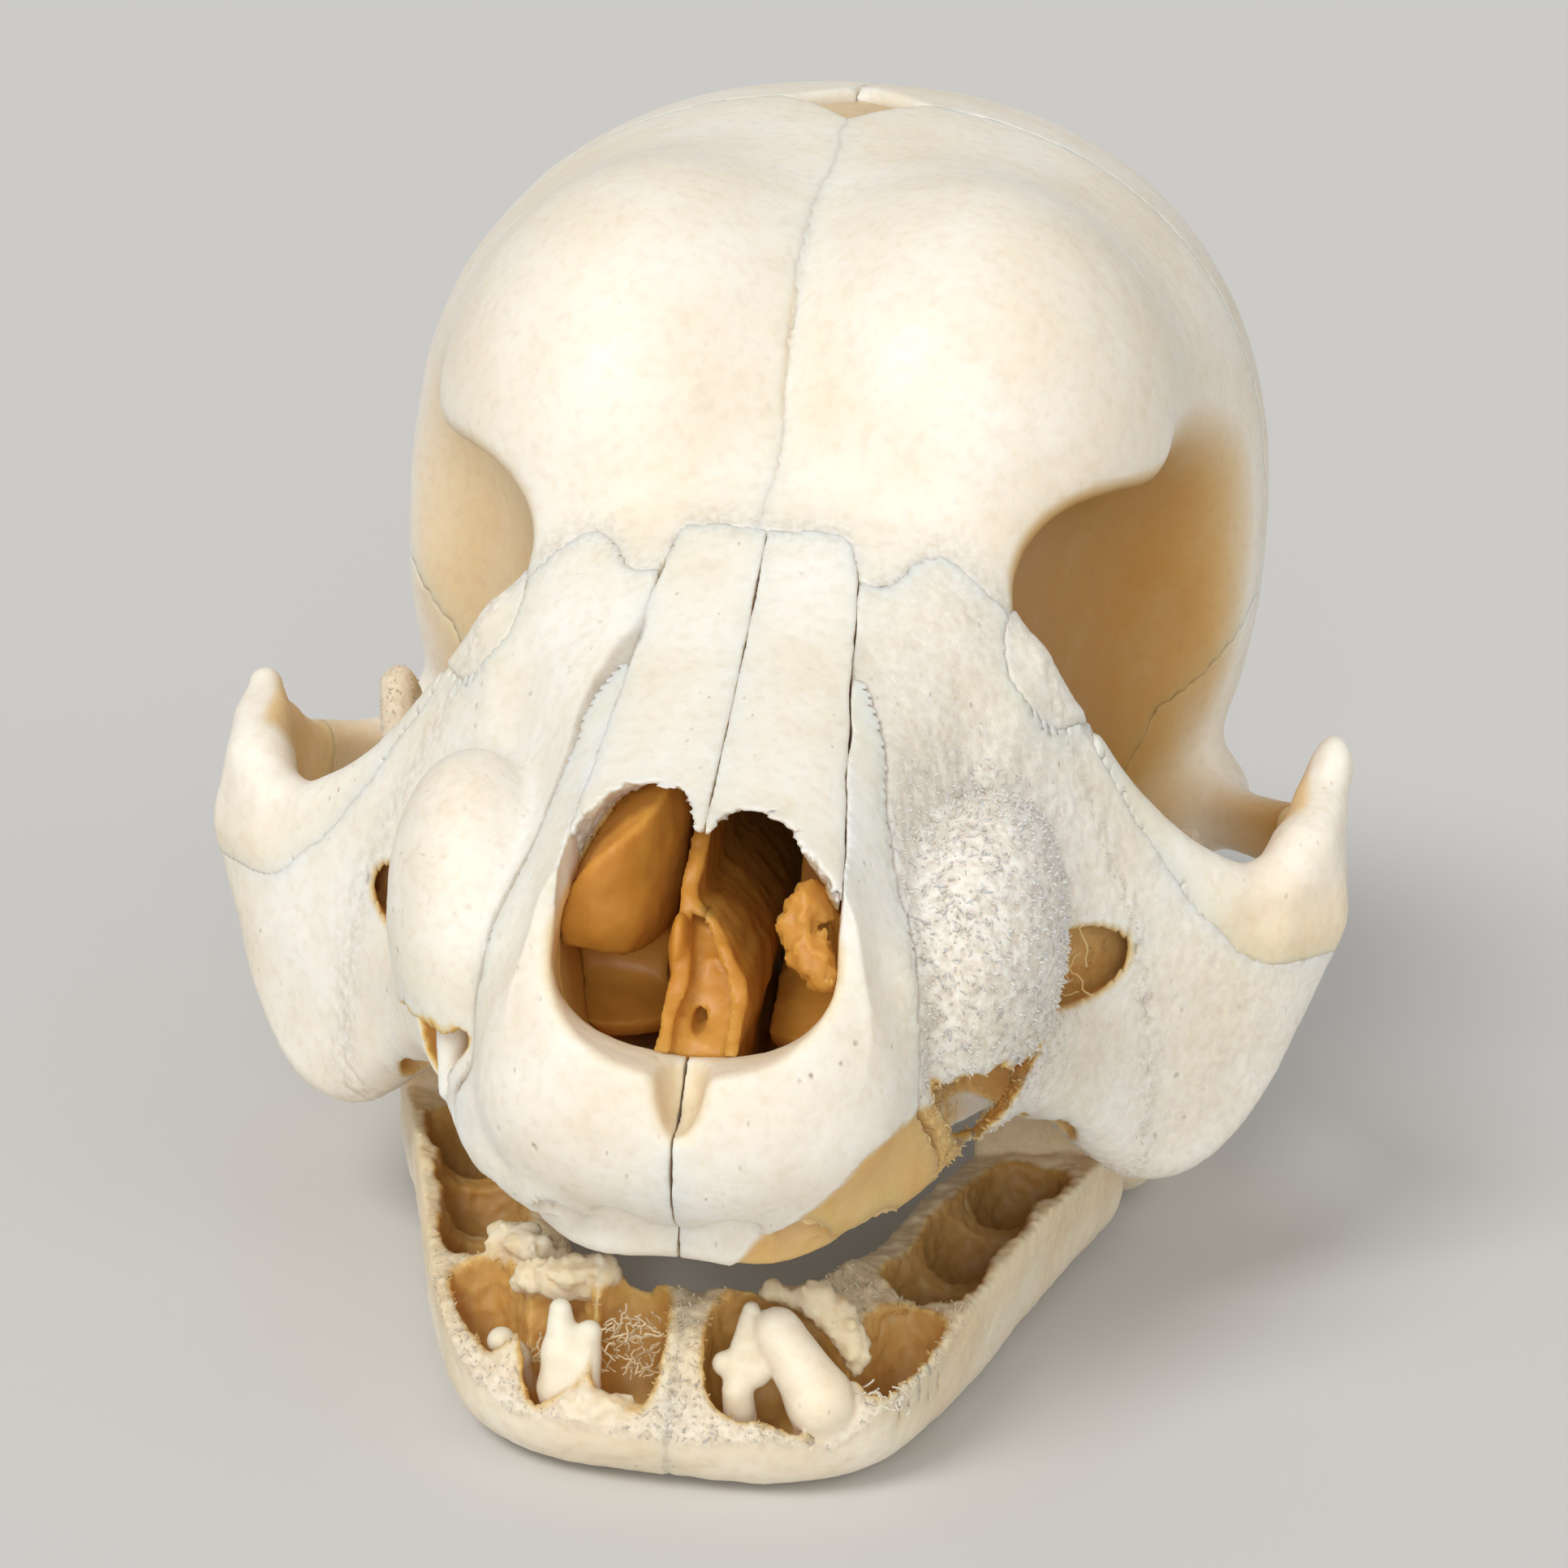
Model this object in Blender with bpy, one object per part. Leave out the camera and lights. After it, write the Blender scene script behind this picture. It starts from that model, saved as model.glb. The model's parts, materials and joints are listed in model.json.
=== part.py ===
"""The skull of a newborn puppy, bone by bone, with the lower jaw in place.

Each bone is the inside of a field: a formula in millimetres that is negative inside the bone.
Geometry nodes sample the field on a grid and mesh its zero surface, and the mesh is thinned out.
The forms of the whole skull come first, and then the lines that part them into bones.
While it is modelled, the front edge of the upper jaw is at y = 0, z = 0. The face looks along -Y,
the skull's left side is +X, and +Z is up. At the end the skull moves to stand on z = 0.
"""

import math

import bmesh
import bpy
from mathutils import Vector

MM = 0.001

# Driving sizes, in millimetres
VAULT_HALF_WIDTH = 14.65
VAULT_HALF_LENGTH = 18.6
VAULT_HALF_HEIGHT = 14.4
VAULT_MIDDLE_Y = 37.0
VAULT_MIDDLE_Z = 13.0
VAULT_WALL = 1.2
BREGMA_Y = 33.4  # the crown, where frontal and parietal bones meet
LAMBDA_Y = 47.5  # the back of the crown, where the parietal bones meet the occiput
CHEEK_HALF_WIDTH = 17.5
APERTURE_HALF_WIDTH = 3.65
JAW_FLOOR_Z = -8.0  # the level of the flats that the lower jaw rests on
FLAT_DEPTH = 0.05  # what is lower than this above that level becomes flat
SUTURE = 0.3  # the gap between two bones
THIN = 0.7  # scrolls and other thin plates
PALATE_FRONT_Y = 15.6  # where the palatine bones meet the upper jaw
BASE_SEAM_Y = 41.6  # where the sphenoid meets the base of the occiput
OCCIPUT_SEAM_Z = 10.5  # where the scale of the occiput meets its sides

# Fineness of the surface
GRID = 0.24
FIRST_GRID = 1.0  # the coarse grid that finds where a bone lies
FIRST_GROWTH = 0.5  # bones are this much thicker there, so that the grid misses none
MERGE = 0.000001  # points of a flat nearer than this, in metres, become one

MATERIALS = {
    # slot: (colour, roughness)
    "bone_vault": ((0.80, 0.74, 0.64, 1), 0.55),
    "bone_face": ((0.84, 0.80, 0.73, 1), 0.62),
    "bone_jaw": ((0.78, 0.71, 0.58, 1), 0.58),
    "bone_thin": ((0.62, 0.38, 0.14, 1), 0.50),
    "membrane": ((0.70, 0.56, 0.36, 1), 0.45),
}


class Field:
    """A value known at every point of space, held as the output of a node."""

    def __init__(self, builder, socket):
        self.builder = builder
        self.socket = socket

    def __add__(self, other):
        return self.builder.maths("ADD", self, other)

    def __sub__(self, other):
        return self.builder.maths("SUBTRACT", self, other)

    def __rsub__(self, other):
        return self.builder.maths("SUBTRACT", other, self)

    def __mul__(self, other):
        return self.builder.maths("MULTIPLY", self, other)

    def __truediv__(self, other):
        return self.builder.maths("DIVIDE", self, other)

    def __pow__(self, other):
        return self.builder.maths("POWER", self, other)

    def __neg__(self):
        return self.builder.maths("MULTIPLY", self, -1)

    def __abs__(self):
        return self.builder.maths("ABSOLUTE", self)

    __radd__ = __add__
    __rmul__ = __mul__


def union(*fields, blend=0):
    """The space inside any of the fields, with a fillet where they meet."""
    total = fields[0]
    for field in fields[1:]:
        if blend:
            total = total.builder.maths("SMOOTH_MIN", total, field, blend)
        else:
            total = total.builder.maths("MINIMUM", total, field)
    return total


def within(*fields, blend=0):
    """The space inside all of the fields."""
    total = fields[0]
    for field in fields[1:]:
        if blend:
            total = total.builder.maths("SMOOTH_MAX", total, field, blend)
        else:
            total = total.builder.maths("MAXIMUM", total, field)
    return total


def carve(field, *tools, blend=0):
    """The field without the space inside the tools."""
    for tool in tools:
        field = within(field, -tool, blend=blend)
    return field


class Builder:
    """One node tree, and the fields that its nodes stand for.

    A shape is made on both sides of the head, unless it is told to stay on one.
    """

    def __init__(self, name):
        self.tree = bpy.data.node_groups.new(name, "GeometryNodeTree")
        self.tree.interface.new_socket("Mesh", in_out="OUTPUT", socket_type="NodeSocketGeometry")
        position = self.tree.nodes.new("GeometryNodeInputPosition").outputs[0]
        self.point = Field(self, self.vectors("SCALE", position, scale=1 / MM))
        self.x, self.y, self.z = self.split(self.point)
        self.side = abs(self.x)
        self.paired = self.join(self.side, self.y, self.z)

    def plug(self, socket, value):
        if isinstance(value, Field):
            value = value.socket
        if isinstance(value, bpy.types.NodeSocket):
            self.tree.links.new(value, socket)
        else:
            socket.default_value = value

    def maths(self, operation, *values):
        node = self.tree.nodes.new("ShaderNodeMath")
        node.operation = operation
        for socket, value in zip(node.inputs, values):
            self.plug(socket, value)
        return Field(self, node.outputs[0])

    def vectors(self, operation, *values, scale=None):
        node = self.tree.nodes.new("ShaderNodeVectorMath")
        node.operation = operation
        for socket, value in zip(node.inputs, values):
            self.plug(socket, value)
        if scale is not None:
            self.plug(node.inputs["Scale"], scale)
        scalar = operation in ("LENGTH", "DOT_PRODUCT", "DISTANCE")
        return node.outputs["Value" if scalar else "Vector"]

    def split(self, vector):
        node = self.tree.nodes.new("ShaderNodeSeparateXYZ")
        self.plug(node.inputs[0], vector)
        return [Field(self, output) for output in node.outputs]

    def join(self, x, y, z):
        node = self.tree.nodes.new("ShaderNodeCombineXYZ")
        for socket, value in zip(node.inputs, (x, y, z)):
            self.plug(socket, value)
        return Field(self, node.outputs[0])

    def local(self, centre, turn, both):
        """The point measured from centre, and turned back by turn, in degrees about X, Y and Z."""
        point = self.vectors("SUBTRACT", self.paired if both else self.point, centre)
        if any(turn):
            node = self.tree.nodes.new("ShaderNodeVectorRotate")
            node.rotation_type = "EULER_XYZ"
            node.invert = True
            self.plug(node.inputs["Vector"], point)
            node.inputs["Rotation"].default_value = [math.radians(angle) for angle in turn]
            point = node.outputs[0]
        return point

    def ellipsoid(self, centre, radii, turn=(0, 0, 0), both=True):
        near = self.vectors("DIVIDE", self.local(centre, turn, both), radii)
        far = self.vectors("DIVIDE", near, radii)
        size = Field(self, self.vectors("LENGTH", near))
        slope = Field(self, self.vectors("LENGTH", far)) + 1e-6
        return size * (size - 1) / slope

    def rounded(self, centre, radii, power, turn=(0, 0, 0), both=True):
        """An ellipsoid with fuller corners: power 2 is an ellipsoid, and 4 is nearly a box."""
        near = self.vectors("DIVIDE", self.local(centre, turn, both), radii)
        x, y, z = self.split(near)
        total = abs(x) ** power + abs(y) ** power + abs(z) ** power
        return (total ** (1 / power) - 1) * min(radii)

    def ring(self, centre, turn, radius, thickness):
        """A ring about the local X axis."""
        x, y, z = self.split(self.local(centre, turn, True))
        across = (y * y + z * z) ** 0.5 - radius
        return (across * across + x * x) ** 0.5 - thickness / 2

    def bar(self, start, end, start_radius, end_radius, both=True):
        """A rod with round ends that tapers from one radius to the other."""
        start, run = Vector(start), Vector(end) - Vector(start)
        point = self.vectors("SUBTRACT", self.paired if both else self.point, start)
        share = Field(self, self.vectors("DOT_PRODUCT", point, run)) / run.length_squared
        share = self.maths("MINIMUM", self.maths("MAXIMUM", share, 0), 1)
        nearest = self.vectors("SCALE", run, scale=share)
        distance = Field(self, self.vectors("DISTANCE", point, nearest))
        return distance - (share * (end_radius - start_radius) + start_radius)

    def rod(self, points, radii, blend=0.8, both=True):
        """Tapered bars through the points."""
        ends = zip(points, points[1:], radii, radii[1:])
        return union(*(self.bar(*end, both=both) for end in ends), blend=blend)

    def plane(self, point, normal):
        """Negative on the side that the normal points away from."""
        offset = self.vectors("SUBTRACT", self.paired, point)
        normal = Vector(normal).normalized()
        return Field(self, self.vectors("DOT_PRODUCT", offset, normal))

    def along(self, axis, stops):
        """A smooth curve through the stops, each (place on the axis, value)."""
        places, values = zip(*stops)
        low, high = min(values), max(values)
        span = (high - low) or 1
        reach = places[-1] - places[0]
        node = self.tree.nodes.new("ShaderNodeFloatCurve")
        node.mapping.use_clip = False
        points = node.mapping.curves[0].points
        while len(points) < len(stops):
            points.new(0.5, 0.5)
        for point, (place, value) in zip(points, stops):
            point.location = ((place - places[0]) / reach, (value - low) / span)
            point.handle_type = "AUTO_CLAMPED"
        node.mapping.update()
        self.plug(node.inputs["Value"], (axis - places[0]) / reach)
        return Field(self, node.outputs[0]) * span + low

    def loft(self, stations, power):
        """A tube along Y. A station is (y, half width, bottom z, top z)."""
        wide = self.along(self.y, [(y, half) for y, half, _, _ in stations])
        low = self.along(self.y, [(y, bottom) for y, _, bottom, _ in stations])
        high = self.along(self.y, [(y, top) for y, _, _, top in stations])
        tall = (high - low) * 0.5
        across = self.side / wide
        up = abs(self.z - (high + low) * 0.5) / tall
        size = (across ** power + up ** power) ** (1 / power)
        ends = within(stations[0][0] - self.y, self.y - stations[-1][0])
        return within((size - 1) * self.maths("MINIMUM", wide, tall), ends)

    def sheet(self, name, rows, thickness):
        """A plate of that thickness about a smooth surface through rows of points."""
        info = self.tree.nodes.new("GeometryNodeObjectInfo")
        info.inputs[0].default_value = guide_object(name, rows)
        near = self.tree.nodes.new("GeometryNodeProximity")
        near.target_element = "FACES"
        self.plug(near.inputs[0], info.outputs["Geometry"])
        point = self.vectors("SCALE", self.paired, scale=MM)
        self.plug(near.inputs["Sample Position"], point)
        return Field(self, near.outputs["Distance"]) / MM - thickness / 2

    def noise(self, size, amount, seed=0):
        """A smooth wave up to amount each way, with bumps about size across."""
        node = self.tree.nodes.new("ShaderNodeTexNoise")
        node.inputs["Scale"].default_value = 1 / size
        node.inputs["Detail"].default_value = 1
        self.plug(node.inputs["Vector"], self.vectors("ADD", self.point, (37.0 * seed, 0, 0)))
        return (Field(self, node.outputs[0]) - 0.5) * (2 * amount)

    def finish(self, field):
        """Meshes the zero surface of the field, in a box that is set afterwards."""
        grown = field - FIRST_GROWTH
        self.growth = grown.socket.node.inputs[1]
        self.cube = self.tree.nodes.new("GeometryNodeVolumeCube")
        self.plug(self.cube.inputs["Density"], -grown)
        self.cube.inputs["Background"].default_value = -1
        mesher = self.tree.nodes.new("GeometryNodeVolumeToMesh")
        mesher.inputs["Threshold"].default_value = 0
        self.plug(mesher.inputs["Volume"], self.cube.outputs[0])
        output = self.tree.nodes.new("NodeGroupOutput")
        self.plug(output.inputs[0], mesher.outputs[0])

    def set_box(self, low, high, grid):
        self.cube.inputs["Min"].default_value = [value * MM for value in low]
        self.cube.inputs["Max"].default_value = [value * MM for value in high]
        for axis, a, b in zip("XYZ", low, high):
            self.cube.inputs["Resolution " + axis].default_value = math.ceil((b - a) / grid) + 1


def smooth_row(row, steps):
    """Points on a Catmull-Rom curve through the row."""
    row = [Vector(point) for point in row]
    ends = [row[0] * 2 - row[1], *row, row[-1] * 2 - row[-2]]
    made = []
    for a, b, c, d in zip(ends, ends[1:], ends[2:], ends[3:]):
        for step in range(steps):
            t = step / steps
            curve = 2 * b + (c - a) * t + (2 * a - 5 * b + 4 * c - d) * t ** 2
            made.append((curve + (3 * b - a - 3 * c + d) * t ** 3) / 2)
    return [*made, row[-1]]


def guide_object(name, rows, steps=5):
    """A hidden mesh through rows of points, smooth both ways."""
    if name in bpy.data.objects:
        return bpy.data.objects[name]
    rows = [smooth_row(row, steps) for row in rows]
    rows = list(zip(*(smooth_row(column, steps) for column in zip(*rows))))
    width = len(rows[0])
    starts = [r * width + c for r in range(len(rows) - 1) for c in range(width - 1)]
    faces = [(start, start + 1, start + width + 1, start + width) for start in starts]
    mesh = bpy.data.meshes.new(name)
    mesh.from_pydata([point * MM for row in rows for point in row], [], faces)
    guide = bpy.data.objects.new(name, mesh)
    guide.hide_render = True
    guide.display_type = "WIRE"
    bpy.data.collections["guides"].objects.link(guide)
    return guide


# The forms of the whole skull


def vault(b, inset=0):
    """The egg of the braincase, or the space inside its wall."""
    centre = (0, VAULT_MIDDLE_Y, VAULT_MIDDLE_Z)
    radii = (VAULT_HALF_WIDTH - inset, VAULT_HALF_LENGTH - inset, VAULT_HALF_HEIGHT - inset)
    return b.rounded(centre, radii, 2.3)


def brow(b, inset=0):
    """The two bulges of the forehead."""
    return b.ellipsoid((4.6, 23.6, 17.4), (6.5 - inset, 8.2 - inset, 8.1 - inset))


def head(b):
    """The braincase and forehead from outside."""
    return union(vault(b), brow(b), blend=5)


def muzzle(b):
    """The face in front of the orbits."""
    lower = b.loft(
        [
            (-1.5, 5.6, 0.0, 6.4),
            (3.0, 5.9, 0.0, 8.2),
            (5.0, 6.2, 0.2, 9.4),
            (8.0, 6.8, 0.6, 10.4),
            (12.0, 7.4, 0.8, 11.8),
            (16.0, 7.6, 0.8, 12.6),
            (20.0, 6.0, 0.4, 11.0),
        ],
        2.5,
    )
    roof = b.loft(
        [
            (2.7, 4.2, 5.0, 10.5),
            (5.0, 4.5, 5.0, 11.6),
            (8.0, 5.0, 5.0, 13.0),
            (11.0, 6.2, 5.0, 14.6),
            (14.2, 7.6, 5.0, 16.6),
            (18.0, 8.0, 5.0, 18.4),
        ],
        2.6,
    )
    front = b.rounded((0, 5.2, 3.4), (6.1, 5.3, 4.3), 2.4, (-14, 0, 0))
    lower = within(lower, union(front, 4.0 - b.y, blend=1.5), blend=0.5)
    return union(lower, roof, blend=2)


def canine_bulge(b, inset=0):
    """The swelling of the upper jaw over the germ of the canine tooth."""
    return b.ellipsoid((6.8, 8.7, 5.8), (2.3 - inset, 3.5 - inset, 4.6 - inset), (-14, 6, -10))


def cheek(b):
    """The plate of the upper jaw below the orbit, and the bar that runs from it to the ear."""
    wide = CHEEK_HALF_WIDTH
    rim = [(7.4, 15.0, 12.6), (9.0, 15.9, 10.4), (10.6, 16.8, 8.3), (12.4, 17.9, 6.6),
           (14.2, 19.0, 5.6), (15.6, 20.0, 5.7), (wide - 1.3, 20.9, 6.6)]
    middle = [(6.6, 12.4, 9.6), (8.2, 13.2, 7.2), (9.8, 14.6, 5.0), (11.6, 16.3, 3.4),
              (13.6, 18.0, 2.6), (15.3, 19.6, 2.9), (wide - 0.8, 21.2, 4.4)]
    edge = [(7.4, 12.2, 2.6), (8.6, 13.2, 1.4), (10.2, 15.0, 0.0), (11.8, 16.9, -1.9),
            (13.4, 18.2, -1.9), (14.9, 19.5, -0.2), (wide - 1.4, 20.9, 2.6)]
    plate = b.sheet("cheek_guide", [rim, middle, edge], 1.9)
    top = [(15.4, 19.7, 5.8), (16.3, 20.9, 6.8), (16.7, 22.6, 7.5), (wide - 0.9, 24.4, 7.0),
           (16.6, 27.6, 5.6), (15.4, 30.4, 4.9), (13.4, 32.6, 4.8)]
    foot = [(15.4, 19.5, 4.6), (16.6, 20.8, 4.6), (17.0, 22.4, 4.9), (wide - 0.8, 24.6, 4.9),
            (16.6, 27.6, 4.6), (15.4, 30.4, 4.3), (13.4, 32.6, 4.3)]
    bar = b.sheet("arch_guide", [top, foot], 1.5)
    spike = b.bar((16.3, 21.6, 6.4), (16.8, 23.6, 8.4), 0.9, 0.5)
    knob = b.ellipsoid((17.0, 24.0, 8.6), (0.6, 1.1, 0.9), both=False)
    return union(plate, bar, spike, knob, blend=0.9)


def gum_ridge(b):
    """The lower edge of the upper jaw, which holds the tooth sockets."""
    top = [(3.2, 3.4, 1.6), (5.0, 4.8, 2.2), (6.4, 7.6, 2.8), (7.8, 11.0, 3.0), (9.4, 14.4, 2.4),
           (10.8, 17.2, 1.8), (11.4, 20.0, 2.2)]
    foot = [(3.2, 3.2, 0.9), (4.9, 4.8, 1.2), (6.2, 7.6, 1.9), (7.6, 11.0, 2.0), (9.2, 14.4, 1.1),
            (10.8, 17.0, -0.4), (11.3, 19.8, 0.4)]
    outer = b.sheet("gum_guide", [top, foot], 2.8)
    high = [(0, 3.2, 1.6), (2.2, 3.5, 1.6), (4.0, 5.0, 1.6), (4.9, 8.0, 1.8), (5.8, 11.5, 1.8),
            (7.0, 15.0, 1.4), (8.4, 18.6, 1.2)]
    low = [(0, 3.0, -0.7), (2.4, 3.4, -0.9), (4.2, 5.0, -0.4), (5.1, 8.0, 0.2), (6.2, 11.5, 0.4),
           (7.6, 15.0, 0.2), (9.0, 18.6, 0.2)]
    inner = b.sheet("palate_guide", [high, low], 0.9)
    return union(outer, inner, blend=0.5)


def upper_sockets(b):
    """The open sockets in the lower edge of the upper jaw, from the front back."""
    sockets = [
        ((1.5, 1.9, 0.3), (0.75, 0.75, 1.7)),
        ((3.2, 2.6, 0.3), (0.75, 0.8, 1.8)),
        ((4.7, 4.2, 0.5), (0.8, 0.9, 1.8)),
        ((7.5, 11.1, 1.0), (0.95, 2.0, 2.3)),
        ((9.2, 14.6, 0.4), (1.0, 1.5, 2.4)),
        ((10.8, 17.6, -0.6), (1.1, 1.5, 2.4)),
    ]
    return union(*(b.ellipsoid(centre, radii, (0, 0, -24)) for centre, radii in sockets))


def nose_hollow(b):
    """The nasal cavity, from the opening at the front to the one above the throat."""
    wide = APERTURE_HALF_WIDTH
    return b.loft(
        [
            (-3.0, wide - 0.2, 4.9, 9.6),
            (1.5, wide, 4.9, 9.6),
            (4.0, wide + 0.2, 3.4, 10.3),
            (8.0, wide + 0.4, 2.0, 11.8),
            (13.0, wide + 0.8, 1.8, 13.6),
            (17.0, wide + 0.9, 1.9, 13.8),
            (20.0, wide, 0.6, 9.0),
            (22.5, wide - 0.5, -1.0, 5.5),
            (25.0, wide - 0.7, -4.0, 2.5),
        ],
        2.3,
    )


def orbit(b, outset=0):
    radii = (7.6 + outset, 7.9 + outset, 6.5 + outset)
    return b.rounded((15.0, 20.4, 10.8), radii, 4.6, (-5, 0, -20))


def orbit_edge(b):
    """How softly the orbit's edge is rounded: crisp in front, and fading into the temple behind."""
    return b.along(b.y, [(15, 1.0), (19.5, 1.4), (24, 5.0), (30, 6.0)])


def temple(b, outset=0):
    """The hollow behind the orbit, where the jaw muscle runs inside the cheek bar."""
    return b.ellipsoid((15.4, 26.2, 4.4), (4.6 + outset, 7.4 + outset, 8.2 + outset), (0, 4, -16))


def brain_hollow(b):
    """The space for the brain, open at the hole for the spinal cord."""
    inside = union(vault(b, VAULT_WALL), brow(b, VAULT_WALL), blend=4)
    floor = 2.4 - b.z
    front = b.plane((0, 21.6, 10), (0, -1, -0.2))
    inside = within(inside, floor, front, blend=1.5)
    inside = carve(inside, orbit(b, 1.6), blend=orbit_edge(b))
    inside = carve(inside, temple(b, 1.1), blend=1)
    cord_hole = b.rod([(0, 50, 6.4), (0, 58, 4.8)], [3.9, 4.2])
    return union(inside, cord_hole, blend=1)


def skull_base(b):
    """The bar under the brain, with the bumps of the ear and of the neck joint."""
    bar = b.loft(
        [
            (19, 2.6, -0.4, 5.0),
            (24, 2.6, -0.8, 5.0),
            (30, 3.2, -1.2, 5.0),
            (38, 3.9, -1.5, 5.0),
            (46, 5.4, -1.5, 5.0),
            (53, 4.8, -0.6, 4.4),
        ],
        2.1,
    )
    ear_bump = b.ellipsoid((8.4, 41.0, 0.6), (3.3, 4.6, 2.9), (0, 0, 14))
    neck_joint = b.ellipsoid((4.7, 53.7, 2.6), (1.9, 2.4, 3.2), (0, 12, 20))
    spur = b.bar((9.6, 48.6, 2.0), (9.2, 49.4, -1.4), 1.6, 0.8)
    jaw_socket = b.ellipsoid((12.4, 32.6, 4.8), (2.7, 3.2, 2.0))
    return union(bar, ear_bump, neck_joint, spur, jaw_socket, blend=1.6)


def wings(b):
    """The plates that flank the throat opening, each with a small hook."""
    top = [(3.9, 20.5, 2.4), (3.5, 24, 2.2), (3.4, 28, 1.6)]
    foot = [(3.9, 20.5, 0.2), (3.5, 24, -2.2), (3.7, 28, -2.6)]
    plate = b.sheet("wing_guide", [top, foot], 0.9)
    hook = b.bar((3.6, 27.6, -2.4), (4.0, 29.6, -3.2), 0.5, 0.4)
    return union(plate, hook, blend=0.6)


def ear_hollow(b):
    return b.ellipsoid((12.4, 39.9, 1.8), (3.6, 2.5, 2.5), (0, -14, -14))


def holes(b):
    """Small openings: below the orbit, beside the palate, and to the orbit from the brain."""
    below_orbit = b.ellipsoid((10.0, 14.6, 4.7), (0.95, 5.0, 1.15), (0, 0, -24))
    palate = b.ellipsoid((1.8, 6.6, 1.5), (0.75, 1.9, 2.6))
    optic = b.bar((5.0, 25.4, 5.4), (11.0, 21.5, 6.4), 0.9, 0.9)
    groove = b.ellipsoid((0, 0.6, 5.1), (0.9, 1.9, 1.5))
    return union(below_orbit, palate, optic, groove)


def fontanelle(b, inset=0):
    """The last gap at the crown, a small lozenge."""
    lozenge = b.side * 0.8 + abs(b.y - (BREGMA_Y + 0.3)) * 0.6 - 1.7 + inset
    return within(lozenge, 20 - b.z)


def skull(b, *parts):
    """The bone of the upper skull. A bone names only the parts that reach it, to save time."""
    body = head(b)
    if "muzzle" in parts:
        body = union(body, muzzle(b), blend=2.4)
    if "base" in parts:
        body = union(body, skull_base(b), blend=2)
    if "orbit" in parts:
        body = carve(body, orbit(b), blend=orbit_edge(b))
        body = carve(body, temple(b), blend=2)
    if "cheek" in parts:
        body = union(body, cheek(b), blend=2)
    if "gums" in parts:
        body = union(body, gum_ridge(b), canine_bulge(b), blend=1)
    if "wings" in parts:
        body = union(body, wings(b), blend=0.6)
    if "nose" in parts:
        body = carve(body, nose_hollow(b), blend=0.4)
    if "brain" in parts:
        body = carve(body, brain_hollow(b), fontanelle(b), blend=0.4)
    if "gums" in parts:
        socket = b.ellipsoid((7.1, 8.1, 4.6), (1.45, 2.3, 3.0), (-14, 6, -10))
        broken_edge = within(canine_bulge(b, -0.6), b.z - 3.8 - b.noise(0.9, 0.5, seed=4))
        body = carve(body, socket, within(broken_edge, 6.3 - b.side))
        body = carve(body, upper_sockets(b), blend=0.25)
    if "holes" in parts:
        body = carve(body, holes(b), blend=0.25)
    if "ear" in parts:
        body = carve(body, ear_hollow(b), blend=0.25)
    return body


# Where one bone ends and the next begins. Each field is negative in the bone that it names.


def wave(b, seed=0):
    """The unevenness of a suture."""
    return b.noise(1.5, 0.45, seed)


def behind_crown(b):
    """Negative behind the suture between the frontal and the parietal bones."""
    return b.side * 0.05 + BREGMA_Y - b.y + wave(b, 1)


def occiput(b):
    """Negative behind the suture that runs from the back of the crown down to the ear."""
    line = b.along(b.side, [(0, LAMBDA_Y), (4, LAMBDA_Y), (8, 46.6), (11, 45.4), (15, 44.4)])
    return (line - b.y) * 0.95 + wave(b, 2)


def face(b):
    """Negative in front of the forehead, which reaches forward beside the nasal bones."""
    line = b.along(b.side, [(0, 14.3), (2.2, 14.2), (3.2, 12.6), (4.2, 13.8), (5.6, 14.6),
                            (7.2, 14.5), (9.0, 13.6), (14.0, 13.2)])
    return (b.y - line + (b.z - 16.6) * 0.14) * 0.9 + wave(b, 3) * 0.6


def base(b):
    """Negative in the strip of bones under the brain."""
    wide = b.along(b.y, [(18, 3.0), (30, 3.6), (38, 4.3), (42, 4.6), (48, 6.2), (57, 7.0)])
    return within(b.side - wide, b.z - 3.6, blend=1) + wave(b, 4) * 0.5


def ear_bone(b):
    return b.ellipsoid((14.0, 36.9, 3.2), (9.0, 9.0, 9.2)) + wave(b, 5)


def wing_bone(b):
    """Negative in the wing of the sphenoid, low in the temple."""
    return b.ellipsoid((7.2, 27.0, 3.0), (5.6, 4.0, 4.6)) + wave(b, 6) * 0.5


def nasal_strip(b):
    half = b.along(b.y, [(2.0, 3.75), (3.5, 3.65), (8.0, 3.2), (14.2, 2.7), (16.0, 2.6)])
    return within(b.side - half + wave(b, 7) * 0.25, 7.4 - b.z)


def incisor_bone(b):
    """Negative in front of the suture between the premaxilla and the upper jaw."""
    line = b.along(b.z, [(-2, 5.6), (1, 5.4), (3.2, 4.2), (5.2, 4.1), (7.5, 5.0), (9.6, 6.2),
                         (12.5, 9.0), (15.0, 11.6)])
    return (b.y - line) * 0.85 + wave(b, 8) * 0.3


def palate_bone(b):
    """Negative in the back of the palate and low in the inner wall of the orbit."""
    front = PALATE_FRONT_Y - b.y + b.side * 0.2
    return within(b.side - 8.4, b.z - 7.0, front, b.y - 22.8, blend=1) + wave(b, 9) * 0.4


def tear_bone(b):
    """Negative in the small bone at the front of the orbit."""
    return b.ellipsoid((8.1, 15.8, 12.6), (1.3, 2.6, 2.6), (0, 0, -20))


def cheek_side(b):
    """Negative in the cheek plate and bar, which stand free of the braincase."""
    return within(b.plane((9.4, 20.0, 8.0), (-1, 0.62, 0.1)), b.z - 13.4)


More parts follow.
